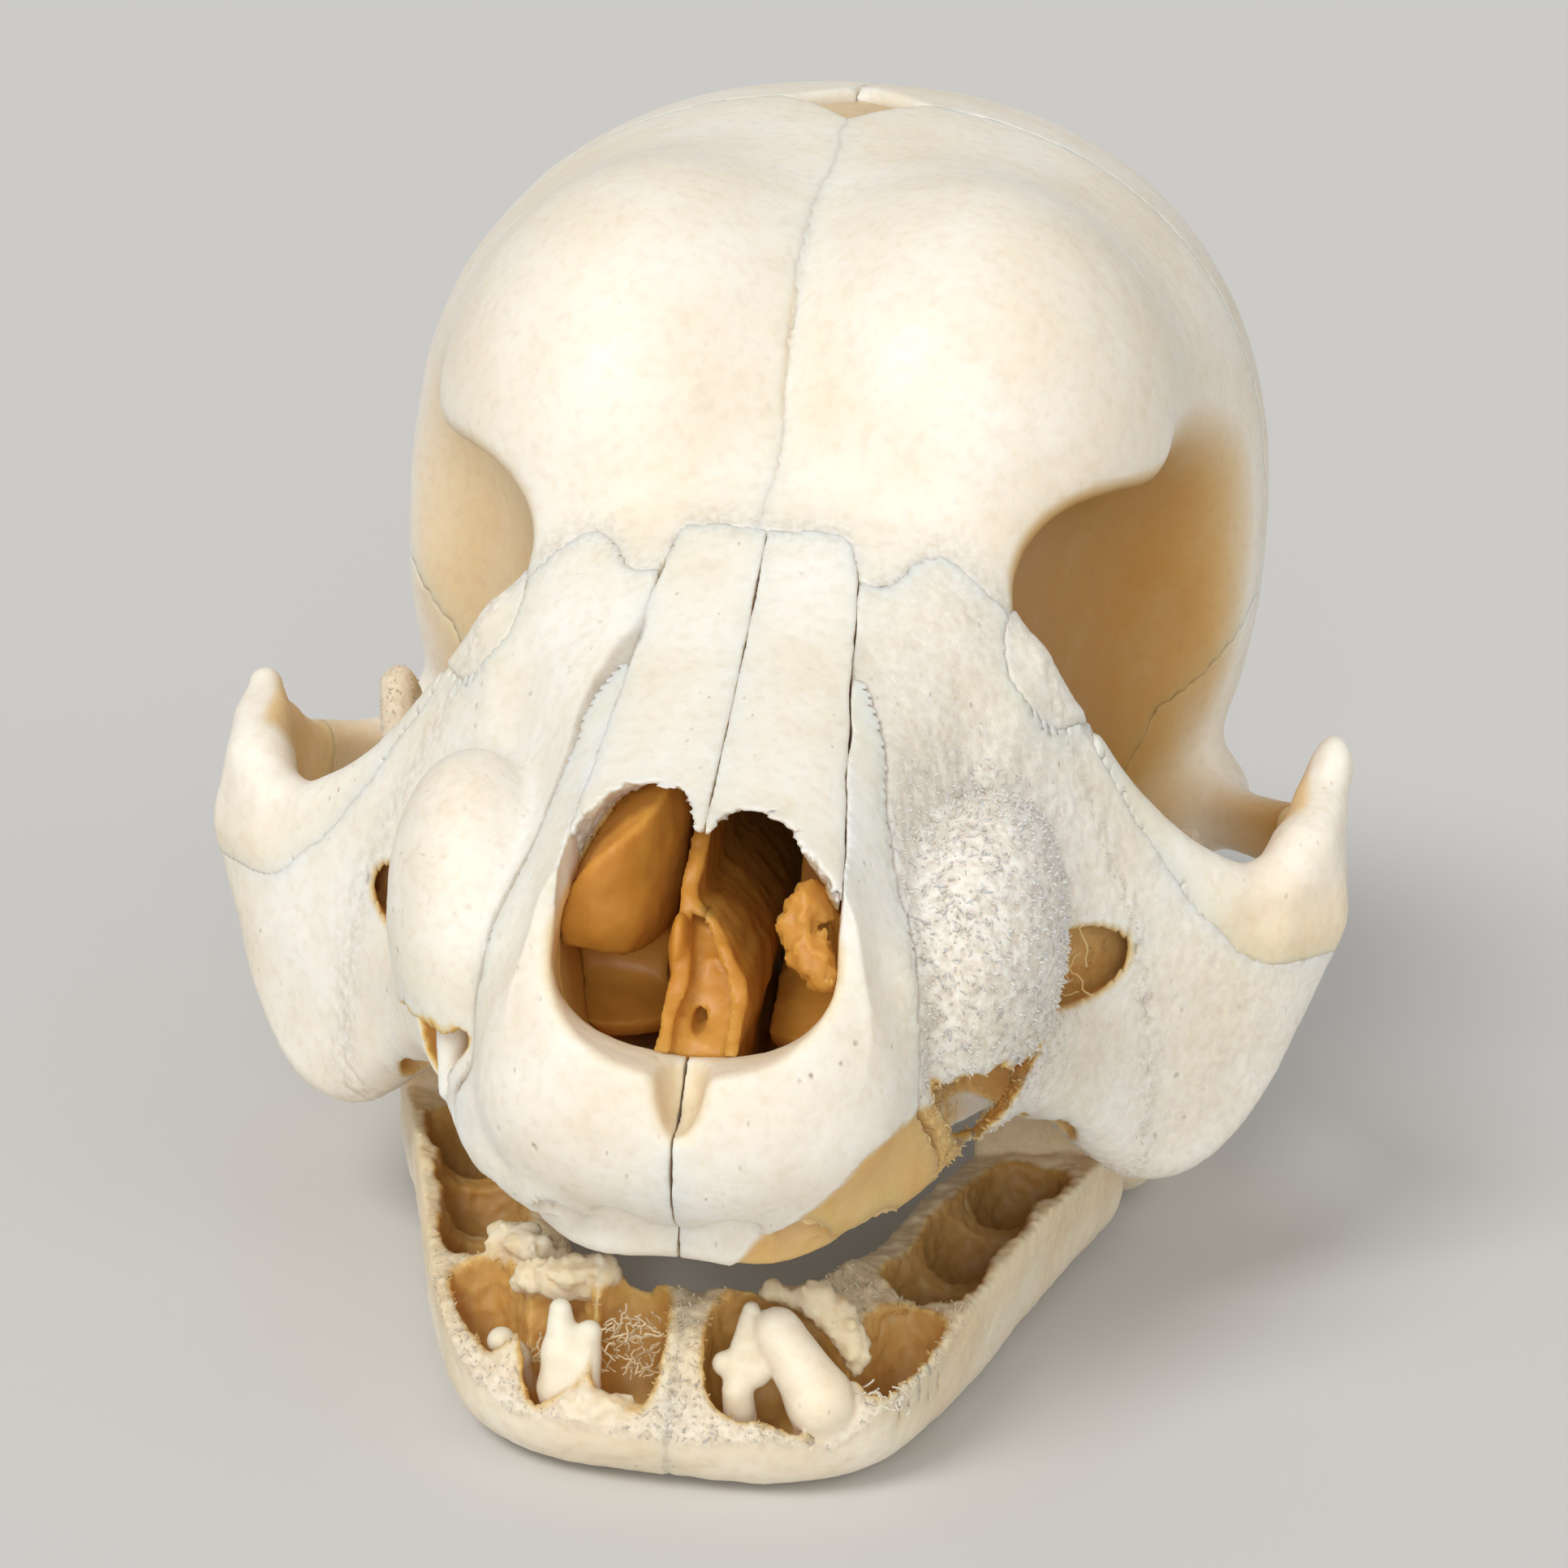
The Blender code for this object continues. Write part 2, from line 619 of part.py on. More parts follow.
def cheek_bone(b):
    """Negative above and behind the suture across the cheek plate."""
    line = b.along(b.side, [(10.5, 9.5), (12.2, 6.9), (13.8, 5.0), (15.2, 3.9), (16.6, 3.7),
                            (19.0, 3.9)])
    behind = b.plane((0, 23.0, 3), (0, -1, 0.4))
    return within(union((line - b.z) * 0.8 + wave(b, 10) * 0.4, behind), cheek_side(b))


def bone(field, *limits):
    """The part of the field inside the limits, drawn back by half a suture."""
    return within(field, *(limit + SUTURE / 2 for limit in limits))


def half(b, side):
    return b.x * -side


# The bones. Side is 1 for the skull's left, and -1 for its right.


def frontal(b, side):
    face_bones = (-face(b), -tear_bone(b), -palate_bone(b), -cheek_side(b))
    others = (-behind_crown(b), -base(b), -ear_bone(b), -wing_bone(b))
    return bone(skull(b, "muzzle", "base", "orbit", "nose", "brain"), half(b, side), *face_bones, *others)


def parietal(b, side):
    others = (-occiput(b), -base(b), -ear_bone(b), -wing_bone(b))
    return bone(skull(b, "orbit", "brain"), half(b, side), behind_crown(b), *others)


def temporal(b, side):
    body = skull(b, "base", "orbit", "cheek", "brain", "ear")
    return bone(body, half(b, side), ear_bone(b), -occiput(b), -base(b), -wing_bone(b))


def occipital_scale(b, side):
    return bone(skull(b, "brain"), occiput(b), OCCIPUT_SEAM_Z - b.z + wave(b, 11))


def occipital_side(b, side):
    below_seam = b.z - OCCIPUT_SEAM_Z - wave(b, 11)
    return bone(skull(b, "base", "brain"), half(b, side), occiput(b), below_seam, -base(b))


def occipital_base(b, side):
    return bone(skull(b, "base", "brain"), base(b), BASE_SEAM_Y - b.y)


def sphenoid(b, side):
    middle = within(base(b), b.y - BASE_SEAM_Y)
    body = skull(b, "base", "orbit", "wings", "nose", "brain")
    return bone(body, union(middle, wing_bone(b)), -palate_bone(b), 18.0 - b.y)


def palatine(b, side):
    body = skull(b, "muzzle", "base", "orbit", "cheek", "gums", "wings", "nose", "holes")
    return bone(body, half(b, side), palate_bone(b))


def nasal(b, side):
    edge = b.along(b.x, [(-3.7, 3.7), (-3.1, 4.3), (-2.0, 4.7), (-0.8, 4.4), (-0.35, 3.3), (0.0, 2.9),
                         (0.4, 3.6), (1.25, 3.9), (2.1, 3.7), (2.6, 3.0), (3.7, 2.7)])
    tip = edge - b.y + b.noise(0.9, 0.2, seed=16)
    return bone(skull(b, "muzzle", "nose"), half(b, side), face(b), nasal_strip(b), tip)


def premaxilla(b, side):
    body = skull(b, "muzzle", "gums", "nose", "holes")
    return bone(body, half(b, side), -nasal_strip(b), incisor_bone(b))


def maxilla(b, side):
    canine = b.bar((-7.1, 8.0, 6.6), (-7.0, 7.0, 1.8), 0.8, 0.32, both=False)
    web = b.ellipsoid((10.4, 16.0, 4.7), (1.9, 0.5, 1.9), (0, 0, 43))  # closes the hole below the orbit
    body = union(skull(b, "muzzle", "orbit", "cheek", "gums", "nose", "holes"), canine, web)
    others = (-nasal_strip(b), -incisor_bone(b), -tear_bone(b), -palate_bone(b), -cheek_bone(b))
    return bone(body, half(b, side), union(face(b), cheek_side(b)), *others)


def lacrimal(b, side):
    return bone(skull(b, "muzzle", "orbit", "cheek", "nose"), half(b, side), tear_bone(b))


def zygomatic(b, side):
    body = skull(b, "orbit", "cheek", "holes")
    return bone(body, half(b, side), cheek_bone(b), -ear_bone(b), -tear_bone(b))


def fontanelle_skin(b, side):
    """The dried skin in the gap at the crown."""
    shell = abs(head(b) + 0.7) - THIN / 2
    return within(shell, fontanelle(b, SUTURE * 1.4))


def vomer(b, side):
    """The wall between the two sides of the nose: a leaf above, and a trough with two edges below."""
    middle = b.along(b.z, [(3, 0.25), (5, 0.3), (6, 0.25), (7.2, -0.5), (9, -0.6), (12, -0.3)])
    half_thickness = b.along(b.z, [(3, 0.8), (5, 0.7), (6, 0.6), (6.9, THIN / 2), (12, THIN / 2)])
    edge = b.along(b.z, [(3, 1.0), (4.7, 1.9), (5.6, 3.0), (6.5, 4.0), (7.4, 4.9), (8.6, 6.0), (10, 7.4),
                         (12, 8.5)])
    leaf = abs(b.x - middle + b.noise(2.2, 0.1, seed=12)) - half_thickness
    leaf = within(leaf, edge + b.noise(0.9, 0.45, seed=13) - b.y, b.y - 19)
    right = b.rod([(-0.55, 1.5, 4.3), (-0.62, 2.4, 5.4), (-0.6, 3.6, 6.4)], [0.4, 0.32, 0.35], both=False)
    left = b.rod([(1.0, 1.5, 4.3), (1.12, 2.4, 5.3), (1.15, 3.6, 6.1)], [0.4, 0.34, 0.3], both=False)
    return within(union(leaf, right, left, blend=0.45), nose_hollow(b) + SUTURE)


def turbinate(b, side):
    """The scroll in one side of the nose: a leaf with a free edge on the right, a curl on the left."""
    if side < 0:
        leaf = b.rounded((2.95, 8.4, 8.9), (1.65, 4.0, 2.7), 2.8, (10, 6, 6))
        leaf = carve(leaf, b.ellipsoid((3.3, 5.4, 5.3), (2.3, 4.0, 1.25), (8, -14, 0)))
        scroll = union(leaf, b.rounded((3.0, 13.2, 7.0), (4.6, 4.8, 7.0), 2.6), blend=0.5)
        clear = 1.4 - b.side
    else:
        ridge = b.ellipsoid((3.9, 8.4, 8.0), (0.9, 4.6, 2.2))
        curl = b.rod([(3.7, 4.6, 8.7), (2.9, 3.5, 8.9), (2.6, 3.2, 8.0), (3.2, 3.0, 7.3), (3.5, 2.9, 7.0)],
                     [0.7, 0.45, 0.42, 0.42, 0.4])
        rear = b.rounded((3.0, 14.4, 7.0), (4.6, 4.8, 7.0), 2.6)
        scroll = union(ridge, curl + b.noise(0.7, 0.15, seed=14), rear, blend=0.5)
        clear = 2.0 - b.side
    return within(scroll, half(b, side), clear, nose_hollow(b) + SUTURE)


def tympanic(b, side):
    """The ring that held the eardrum."""
    ring = b.ring((12.3, 40.0, 0.9), (0, 24, -14), 2.5, 1.1)
    return within(carve(ring, skull(b, "base", "ear") - SUTURE), half(b, side))


# The lower jaw


def jaw_form(b):
    """The lower jaw without its sockets: a thick front, and a thin plate that rises to the joint."""
    top = [(0, 4.1, -4.4), (2.7, 4.3, -4.4), (4.5, 5.3, -4.4), (5.5, 7.6, -4.3),
           (6.5, 11.0, -4.2), (7.5, 15.0, -4.0), (8.6, 19.0, -3.6), (9.6, 22.5, -3.0)]
    foot = [(0, 4.3, -5.9), (2.6, 4.5, -5.9), (4.3, 5.5, -5.9), (5.3, 7.8, -5.9),
            (6.3, 11.0, -5.9), (7.3, 15.0, -5.8), (8.5, 19.0, -5.6), (9.6, 22.5, -5.4)]
    body = b.sheet("jaw_guide", [top, foot], 4.1)
    low = [(9.8, 20.0, -5.2), (10.7, 24.0, -5.8), (11.4, 28.0, -6.2), (11.8, 31.0, -6.0)]
    middle = [(10.4, 21.4, -1.8), (11.5, 24.6, -1.4), (12.1, 28.0, -1.2), (12.4, 31.0, -0.8)]
    high = [(12.1, 23.6, 4.0), (12.4, 25.2, 4.4), (12.6, 26.8, 3.8), (12.5, 28.6, 2.4)]
    tip = [(12.9, 25.4, 7.9), (13.0, 25.9, 8.2), (13.0, 26.4, 7.9), (12.9, 27.0, 7.2)]
    ramus = b.sheet("ramus_guide", [low, middle, high, tip], 1.15)
    ramus = within(ramus, b.z - b.along(b.x, [(-15, 9.5), (-9, 9.5), (9, 5.2), (15, 5.2)]), blend=0.8)
    joint = b.rod([(12.4, 31.0, -0.9), (12.4, 32.2, 0.1)], [0.8, 1.0])
    condyle = b.bar((11.0, 32.4, 0.3), (13.8, 32.2, 0.6), 1.1, 1.05)
    angle = b.rod([(11.4, 28.4, -6.2), (11.9, 31.6, -6.9), (11.9, 33.8, -6.7)], [1.5, 1.25, 0.8])
    return union(body, ramus, joint, condyle, angle, blend=1.4)


def above_rim(b):
    """Negative above the rim of the lower jaw, which is low outside at the front and higher inside."""
    path = b.along(b.y, [(1.5, 0.6), (2.6, 1.9), (4.4, 3.4), (6.0, 4.9), (8.0, 5.7), (11.0, 6.6),
                         (15.0, 7.5), (19.0, 8.6), (24.0, 10.0)])
    outward = within(b.side - path, 4.2 - b.y, blend=1.5)
    fall = b.along(b.y, [(1.5, -1.2), (2.8, -1.1), (3.4, -0.75), (4.2, -0.45), (6.0, -0.2), (11.0, 0.1),
                         (24.0, 0.1)])
    rise = b.along(b.y, [(1.5, 0.6), (8.0, 0.45), (12.0, -0.1), (24.0, -0.1)])
    outside = b.maths("MAXIMUM", outward, 0) * fall
    inside = b.maths("MAXIMUM", -outward, 0) * rise
    rim = outside + inside - 3.8 + b.noise(1.6, 0.3, seed=15)
    return within((rim - b.z) * 0.85, b.y - 20.5)


def lower_sockets(b):
    """The open sockets of the lower jaw. Those at the front differ from side to side."""
    front = [
        ((2.60, 4.1, -3.7), (1.85, 1.50, 2.9), 0),
        ((5.85, 6.1, -3.7), (0.85, 1.70, 2.7), -24),
        ((-1.38, 4.1, -3.7), (0.80, 1.50, 2.9), 0),
        ((-3.60, 4.4, -3.7), (0.85, 1.50, 2.9), 12),
        ((-5.80, 6.2, -3.9), (0.85, 1.70, 2.8), 28),
    ]
    rear = [
        ((6.5, 10.1, -3.2), (1.30, 1.65, 3.0)),
        ((7.4, 14.0, -3.1), (1.30, 1.65, 3.0)),
        ((8.5, 17.9, -2.7), (1.30, 1.65, 3.0)),
    ]
    near = [b.rounded(middle, radii, 3, (0, 0, turn), both=False) for middle, radii, turn in front]
    far = [b.rounded(middle, radii, 3, (0, 0, -15)) for middle, radii in rear]
    trough = b.rod([(6.4, 9.6, -3.8), (7.4, 14.0, -3.7), (8.5, 18.2, -3.3)], [1.15, 1.2, 1.15])
    return union(*near, *far, trough)


def tooth_germs(b):
    """The caps of teeth that still lie in the front sockets, sunk into the bone at their roots."""
    germs = [
        ([(4.0, 4.4, -6.7), (3.9, 3.7, -5.1), (2.7, 4.1, -3.6)], [0.8, 0.92, 0.65]),
        ([(2.1, 4.4, -6.7), (2.0, 3.75, -5.1), (1.8, 4.0, -4.3), (1.8, 4.5, -3.3)], [0.5, 0.55, 0.5, 0.35]),
        ([(-3.4, 4.2, -6.7), (-3.4, 3.8, -5.0), (-3.4, 4.3, -3.6)], [0.6, 0.55, 0.35]),
        ([(-5.0, 5.6, -6.8), (-4.9, 5.1, -5.6), (-5.15, 4.85, -4.95)], [0.5, 0.5, 0.4]),
    ]
    return union(*(b.rod(points, radii, both=False) for points, radii in germs), blend=0.3)


def mandible(b, side):
    body = carve(jaw_form(b), above_rim(b), blend=0.3)
    body = carve(body, lower_sockets(b), blend=0.25)
    body = union(body, tooth_germs(b), blend=0.2)
    return bone(within(body, JAW_FLOOR_Z - b.z), half(b, side))


BOTH = (("_left", 1), ("_right", -1))
MIDDLE = (("", 0),)
BONES = {
    # name: (form, sides, material, triangles)
    "frontal": (frontal, BOTH, "bone_vault", 800),
    "parietal": (parietal, BOTH, "bone_vault", 600),
    "temporal": (temporal, BOTH, "bone_vault", 740),
    "occipital_scale": (occipital_scale, MIDDLE, "bone_vault", 400),
    "occipital_side": (occipital_side, BOTH, "bone_vault", 360),
    "occipital_base": (occipital_base, MIDDLE, "bone_vault", 240),
    "sphenoid": (sphenoid, MIDDLE, "bone_vault", 640),
    "palatine": (palatine, BOTH, "bone_face", 320),
    "nasal": (nasal, BOTH, "bone_face", 240),
    "premaxilla": (premaxilla, BOTH, "bone_face", 660),
    "maxilla": (maxilla, BOTH, "bone_face", 1340),
    "lacrimal": (lacrimal, BOTH, "bone_face", 100),
    "zygomatic": (zygomatic, BOTH, "bone_face", 380),
    "mandible": (mandible, BOTH, "bone_jaw", 1600),
    "tympanic": (tympanic, BOTH, "bone_face", 160),
    "turbinate": (turbinate, BOTH, "bone_thin", 140),
    "vomer": (vomer, MIDDLE, "bone_thin", 260),
    "fontanelle_skin": (fontanelle_skin, MIDDLE, "membrane", 60),
}
SKULL_BOX = ((-21, -3, -12), (21, 60, 31))


def evaluated_mesh(obj):
    bpy.context.view_layer.update()
    graph = bpy.context.evaluated_depsgraph_get()
    return bpy.data.meshes.new_from_object(obj.evaluated_get(graph))


def keep_largest_body(mesh):
    shape = bmesh.new()
    shape.from_mesh(mesh)
    left = set(shape.verts)
    bodies = []
    while left:
        stack = [left.pop()]
        body = set(stack)
        while stack:
            for edge in stack.pop().link_edges:
                for vert in edge.verts:
                    if vert in left:
                        left.discard(vert)
                        body.add(vert)
                        stack.append(vert)
        bodies.append(body)
    bodies.sort(key=len)
    for body in bodies[:-1]:
        bmesh.ops.delete(shape, geom=list(body), context="VERTS")
    shape.to_mesh(mesh)
    shape.free()


def flatten_foot(mesh):
    """Makes a flat of what lies just above the level that the jaw rests on."""
    shape = bmesh.new()
    shape.from_mesh(mesh)
    low = [vert for vert in shape.verts if vert.co.z < (JAW_FLOOR_Z + FLAT_DEPTH) * MM]
    for vert in low:
        vert.co.z = JAW_FLOOR_Z * MM
    bmesh.ops.remove_doubles(shape, verts=low, dist=MERGE)
    shape.to_mesh(mesh)
    shape.free()


def make_bone(name, form, side, material, triangles):
    builder = Builder(name)
    builder.finish(form(builder, side))
    obj = bpy.data.objects.new(name, bpy.data.meshes.new(name))
    bpy.data.collections["puppy_skull"].objects.link(obj)
    nodes = obj.modifiers.new("Field", "NODES")
    nodes.node_group = builder.tree
    builder.set_box(*SKULL_BOX, FIRST_GRID)
    corners = [vert.co / MM for vert in evaluated_mesh(obj).vertices]
    low = [min(corner[i] for corner in corners) - 1 for i in range(3)]
    high = [max(corner[i] for corner in corners) + 1 for i in range(3)]
    builder.set_box(low, high, GRID)
    builder.growth.default_value = 0
    mesh = evaluated_mesh(obj)
    obj.modifiers.remove(nodes)
    keep_largest_body(mesh)
    mesh.calc_loop_triangles()
    even = obj.modifiers.new("Even out", "SMOOTH")
    even.factor = 0.5
    even.iterations = 2
    thin = obj.modifiers.new("Thin out", "DECIMATE")
    thin.ratio = triangles / len(mesh.loop_triangles)
    obj.data = mesh
    mesh = evaluated_mesh(obj)
    obj.modifiers.clear()
    flatten_foot(mesh)
    obj.data = mesh
    obj.data.materials.clear()
    obj.data.materials.append(bpy.data.materials[material])
    obj.data.shade_smooth()


def stand_skull(bones):
    """Moves the skull to stand centred on z = 0."""
    verts = [vert for bone in bones for vert in bone.data.vertices]
    low = Vector([min(vert.co[i] for vert in verts) for i in range(3)])
    high = Vector([max(vert.co[i] for vert in verts) for i in range(3)])
    foot = Vector(((low.x + high.x) / 2, (low.y + high.y) / 2, low.z))
    for vert in verts:
        vert.co -= foot


def make_material(name, colour, roughness):
    material = bpy.data.materials.new(name)
    material.use_nodes = True
    shader = material.node_tree.nodes["Principled BSDF"]
    shader.inputs["Base Color"].default_value = colour
    shader.inputs["Roughness"].default_value = roughness
    shader.inputs["Metallic"].default_value = 0


def make_collection(name):
    collection = bpy.data.collections.new(name)
    bpy.context.scene.collection.children.link(collection)


def main():
    for obj in list(bpy.data.objects):
        bpy.data.objects.remove(obj)
    make_collection("puppy_skull")
    make_collection("guides")
    for name, (colour, roughness) in MATERIALS.items():
        make_material(name, colour, roughness)
    for name, (form, sides, material, triangles) in BONES.items():
        for suffix, side in sides:
            make_bone(name + suffix, form, side, material, triangles)
    stand_skull(bpy.data.collections["puppy_skull"].objects)


main()
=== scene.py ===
import json
import math
import random
import time

import bpy
from mathutils import Matrix, Vector

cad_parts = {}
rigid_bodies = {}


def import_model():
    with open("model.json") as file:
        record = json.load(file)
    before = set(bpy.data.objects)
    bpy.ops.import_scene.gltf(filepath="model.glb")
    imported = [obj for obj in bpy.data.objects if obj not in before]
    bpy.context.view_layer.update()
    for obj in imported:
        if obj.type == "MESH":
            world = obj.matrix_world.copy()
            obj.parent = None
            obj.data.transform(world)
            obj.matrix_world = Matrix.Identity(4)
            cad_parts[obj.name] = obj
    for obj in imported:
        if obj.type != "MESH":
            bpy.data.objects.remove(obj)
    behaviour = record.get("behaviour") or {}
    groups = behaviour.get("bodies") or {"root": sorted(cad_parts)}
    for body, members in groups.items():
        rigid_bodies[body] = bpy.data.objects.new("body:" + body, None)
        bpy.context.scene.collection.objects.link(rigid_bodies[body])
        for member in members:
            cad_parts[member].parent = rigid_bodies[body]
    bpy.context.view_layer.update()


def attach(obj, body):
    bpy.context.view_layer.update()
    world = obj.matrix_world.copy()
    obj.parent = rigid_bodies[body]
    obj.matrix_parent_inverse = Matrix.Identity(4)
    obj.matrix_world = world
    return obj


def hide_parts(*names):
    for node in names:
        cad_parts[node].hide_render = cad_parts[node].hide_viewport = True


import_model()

started = time.time()
mm = 0.001
# The shapes are worked out in millimetres from the front edge of the upper jaw.
# The whole skull is then moved back and up by this much, to stand on the floor.
skullOrigin = (-0.0004, 27.9826, -8.0)


def stage(message):
    print(f"[{time.time() - started:5.1f} s] {message}")


def addNode(tree, kind, *inputs, **settings):
    # An input is a pair: a socket's name or number, and the value or the socket that goes into it
    node = tree.nodes.new(kind)
    for name, value in settings.items():
        setattr(node, name, value)
    for name, value in inputs:
        value = value.socket if isinstance(value, Field) else value
        if isinstance(value, bpy.types.NodeSocket):
            tree.links.new(value, node.inputs[name])
        else:
            node.inputs[name].default_value = value
    return node


def makeTree(name, *inputs):
    # A geometry tree with named inputs, each (name, kind), that gives a mesh
    tree = bpy.data.node_groups.new(name, "GeometryNodeTree")
    for label, kind in inputs:
        tree.interface.new_socket(label, in_out="INPUT", socket_type="NodeSocket" + kind)
    tree.interface.new_socket("Mesh", in_out="OUTPUT", socket_type="NodeSocketGeometry")
    return tree, addNode(tree, "NodeGroupInput").outputs


def endTree(tree, geometry, material):
    smooth = addNode(tree, "GeometryNodeSetShadeSmooth", (0, geometry))
    real = addNode(tree, "GeometryNodeRealizeInstances", (0, smooth.outputs[0]))
    painted = addNode(tree, "GeometryNodeSetMaterial", ("Geometry", real.outputs[0]), ("Material", material))
    addNode(tree, "NodeGroupOutput", (0, painted.outputs[0]))


# A field is a formula that is negative inside a shape. Geometry nodes work it out for each point.


class Field:
    # A value known at every point of space, held as the output of a node

    def __init__(self, builder, socket):
        self.builder = builder
        self.socket = socket

    def __add__(self, other):
        return self.builder.maths("ADD", self, other)

    def __sub__(self, other):
        return self.builder.maths("SUBTRACT", self, other)

    def __rsub__(self, other):
        return self.builder.maths("SUBTRACT", other, self)

    def __mul__(self, other):
        return self.builder.maths("MULTIPLY", self, other)

    def __truediv__(self, other):
        return self.builder.maths("DIVIDE", self, other)

    def __pow__(self, other):
        return self.builder.maths("POWER", self, other)

    def __neg__(self):
        return self * -1

    def __abs__(self):
        return self.builder.maths("ABSOLUTE", self)

    __radd__ = __add__
    __rmul__ = __mul__


def combine(fields, hard, soft, blend):
    total = fields[0]
    for field in fields[1:]:
        if blend:
            total = total.builder.maths(soft, total, field, blend)
        else:
            total = total.builder.maths(hard, total, field)
    return total


def union(*fields, blend=0):
    # The space inside any of the fields, with a fillet where they meet
    return combine(fields, "MINIMUM", "SMOOTH_MIN", blend)


def within(*fields, blend=0):
    # The space inside all of the fields. It also gives the highest of several amounts
    return combine(fields, "MAXIMUM", "SMOOTH_MAX", blend)


def carve(field, *tools, blend=0):
    # The field without the space inside the tools
    for tool in tools:
        field = within(field, -tool, blend=blend)
    return field


class Shape:
    # One node tree. A shape is made on both sides of the head, unless it is told to stay on one.

    def __init__(self, name):
        self.tree, self.given = makeTree(
            name, ("Low corner", "Vector"), ("High corner", "Vector"), ("Cell size", "Float"),
            ("Suture gap", "Float"), ("Relief", "Float"), ("Material", "Material"))
        self.suture = Field(self, self.given["Suture gap"])
        self.relief = Field(self, self.given["Relief"])
        position = self.add("GeometryNodeInputPosition").outputs[0]
        self.point = self.vectors("MULTIPLY_ADD", position, (1 / mm,) * 3, skullOrigin)
        self.x, self.y, self.z = self.split(self.point)
        self.side = abs(self.x)
        self.paired = self.join(self.side, self.y, self.z)

    def add(self, kind, *inputs, **settings):
        return addNode(self.tree, kind, *inputs, **settings)

    def maths(self, operation, *values):
        return Field(self, self.add("ShaderNodeMath", *enumerate(values), operation=operation).outputs[0])

    def vectors(self, operation, *values):
        node = self.add("ShaderNodeVectorMath", *enumerate(values), operation=operation)
        scalar = operation in ("LENGTH", "DOT_PRODUCT", "DISTANCE")
        return node.outputs["Value" if scalar else "Vector"]

    def scaled(self, vector, scale):
        node = self.add("ShaderNodeVectorMath", (0, vector), ("Scale", scale), operation="SCALE")
        return node.outputs["Vector"]

    def split(self, vector):
        node = self.add("ShaderNodeSeparateXYZ", (0, vector))
        return [Field(self, output) for output in node.outputs]

    def join(self, *values):
        return Field(self, self.add("ShaderNodeCombineXYZ", *enumerate(values)).outputs[0])

    def local(self, centre, turn, both):
        # The point measured from centre, and turned back by turn, in degrees about X, Y and Z
        point = self.vectors("SUBTRACT", self.paired if both else self.point, centre)
        if any(turn):
            angles = [math.radians(angle) for angle in turn]
            point = self.add("ShaderNodeVectorRotate", ("Vector", point), ("Rotation", angles),
                             rotation_type="EULER_XYZ", invert=True).outputs[0]
        return point

    def ellipsoid(self, centre, radii, turn=(0, 0, 0), both=True):
        near = self.vectors("DIVIDE", self.local(centre, turn, both), radii)
        far = self.vectors("DIVIDE", near, radii)
        size = Field(self, self.vectors("LENGTH", near))
        slope = Field(self, self.vectors("LENGTH", far)) + 1e-6
        return size * (size - 1) / slope

    def rounded(self, centre, radii, power, turn=(0, 0, 0), both=True):
        # An ellipsoid with fuller corners: power 2 is an ellipsoid, and 4 is nearly a box
        near = self.vectors("DIVIDE", self.local(centre, turn, both), radii)
        x, y, z = self.split(near)
        total = abs(x) ** power + abs(y) ** power + abs(z) ** power
        return (total ** (1 / power) - 1) * min(radii)

    def ring(self, centre, turn, radius, thickness):
        # A ring about the local X axis
        x, y, z = self.split(self.local(centre, turn, True))
        across = (y * y + z * z) ** 0.5 - radius
        return (across * across + x * x) ** 0.5 - thickness / 2

    def bar(self, start, end, startRadius, endRadius, both=True):
        # A rod with round ends that tapers from one radius to the other
        start, run = Vector(start), Vector(end) - Vector(start)
        point = self.vectors("SUBTRACT", self.paired if both else self.point, start)
        share = Field(self, self.vectors("DOT_PRODUCT", point, run)) / run.length_squared
        share = self.limited(share, 0, 1)
        distance = Field(self, self.vectors("DISTANCE", point, self.scaled(run, share)))
        return distance - (share * (endRadius - startRadius) + startRadius)

    def rod(self, points, radii, blend=0.8, both=True):
        # Tapered bars through the points
        ends = zip(points, points[1:], radii, radii[1:])
        return union(*(self.bar(*end, both=both) for end in ends), blend=blend)

    def plane(self, point, normal):
        # Negative on the side that the normal points away from
        offset = self.vectors("SUBTRACT", self.paired, point)
        return Field(self, self.vectors("DOT_PRODUCT", offset, Vector(normal).normalized()))

    def along(self, axis, stops):
        # A smooth curve through the stops, each (place on the axis, value)
        places, values = zip(*stops)
        low, high = min(values), max(values)
        span = (high - low) or 1
        reach = places[-1] - places[0]
        node = self.add("ShaderNodeFloatCurve", ("Value", (axis - places[0]) / reach))
        node.mapping.use_clip = False
        points = node.mapping.curves[0].points
        while len(points) < len(stops):
            points.new(0.5, 0.5)
        for point, (place, value) in zip(points, stops):
            point.location = ((place - places[0]) / reach, (value - low) / span)
            point.handle_type = "AUTO_CLAMPED"
        node.mapping.update()
        return Field(self, node.outputs[0]) * span + low

    def bySide(self, right, left, start, end):
        # One value on the skull's right and another on its left. It changes within start of the middle
        return self.along(self.x, [(-end, right), (-start, right), (start, left), (end, left)])

    def loft(self, stations, power):
        # A tube along Y. A station is (y, half width, bottom z, top z)
        places = [station[0] for station in stations]
        wide, low, high = (self.along(self.y, list(zip(places, values))) for values in list(zip(*stations))[1:])
        tall = (high - low) * 0.5
        across = self.side / wide
        up = abs(self.z - (high + low) * 0.5) / tall
        size = (across ** power + up ** power) ** (1 / power)
        ends = within(places[0] - self.y, self.y - places[-1])
        return within((size - 1) * union(wide, tall), ends)

    def sheet(self, name, rows, thickness):
        # A plate of that thickness about a smooth surface through rows of points
        guide = self.add("GeometryNodeObjectInfo", (0, guideObject(name, rows))).outputs["Geometry"]
        near = self.add("GeometryNodeProximity", (0, guide), ("Sample Position", self.scaled(self.paired, mm)),
                        target_element="FACES")
        return Field(self, near.outputs["Distance"]) / mm - thickness / 2

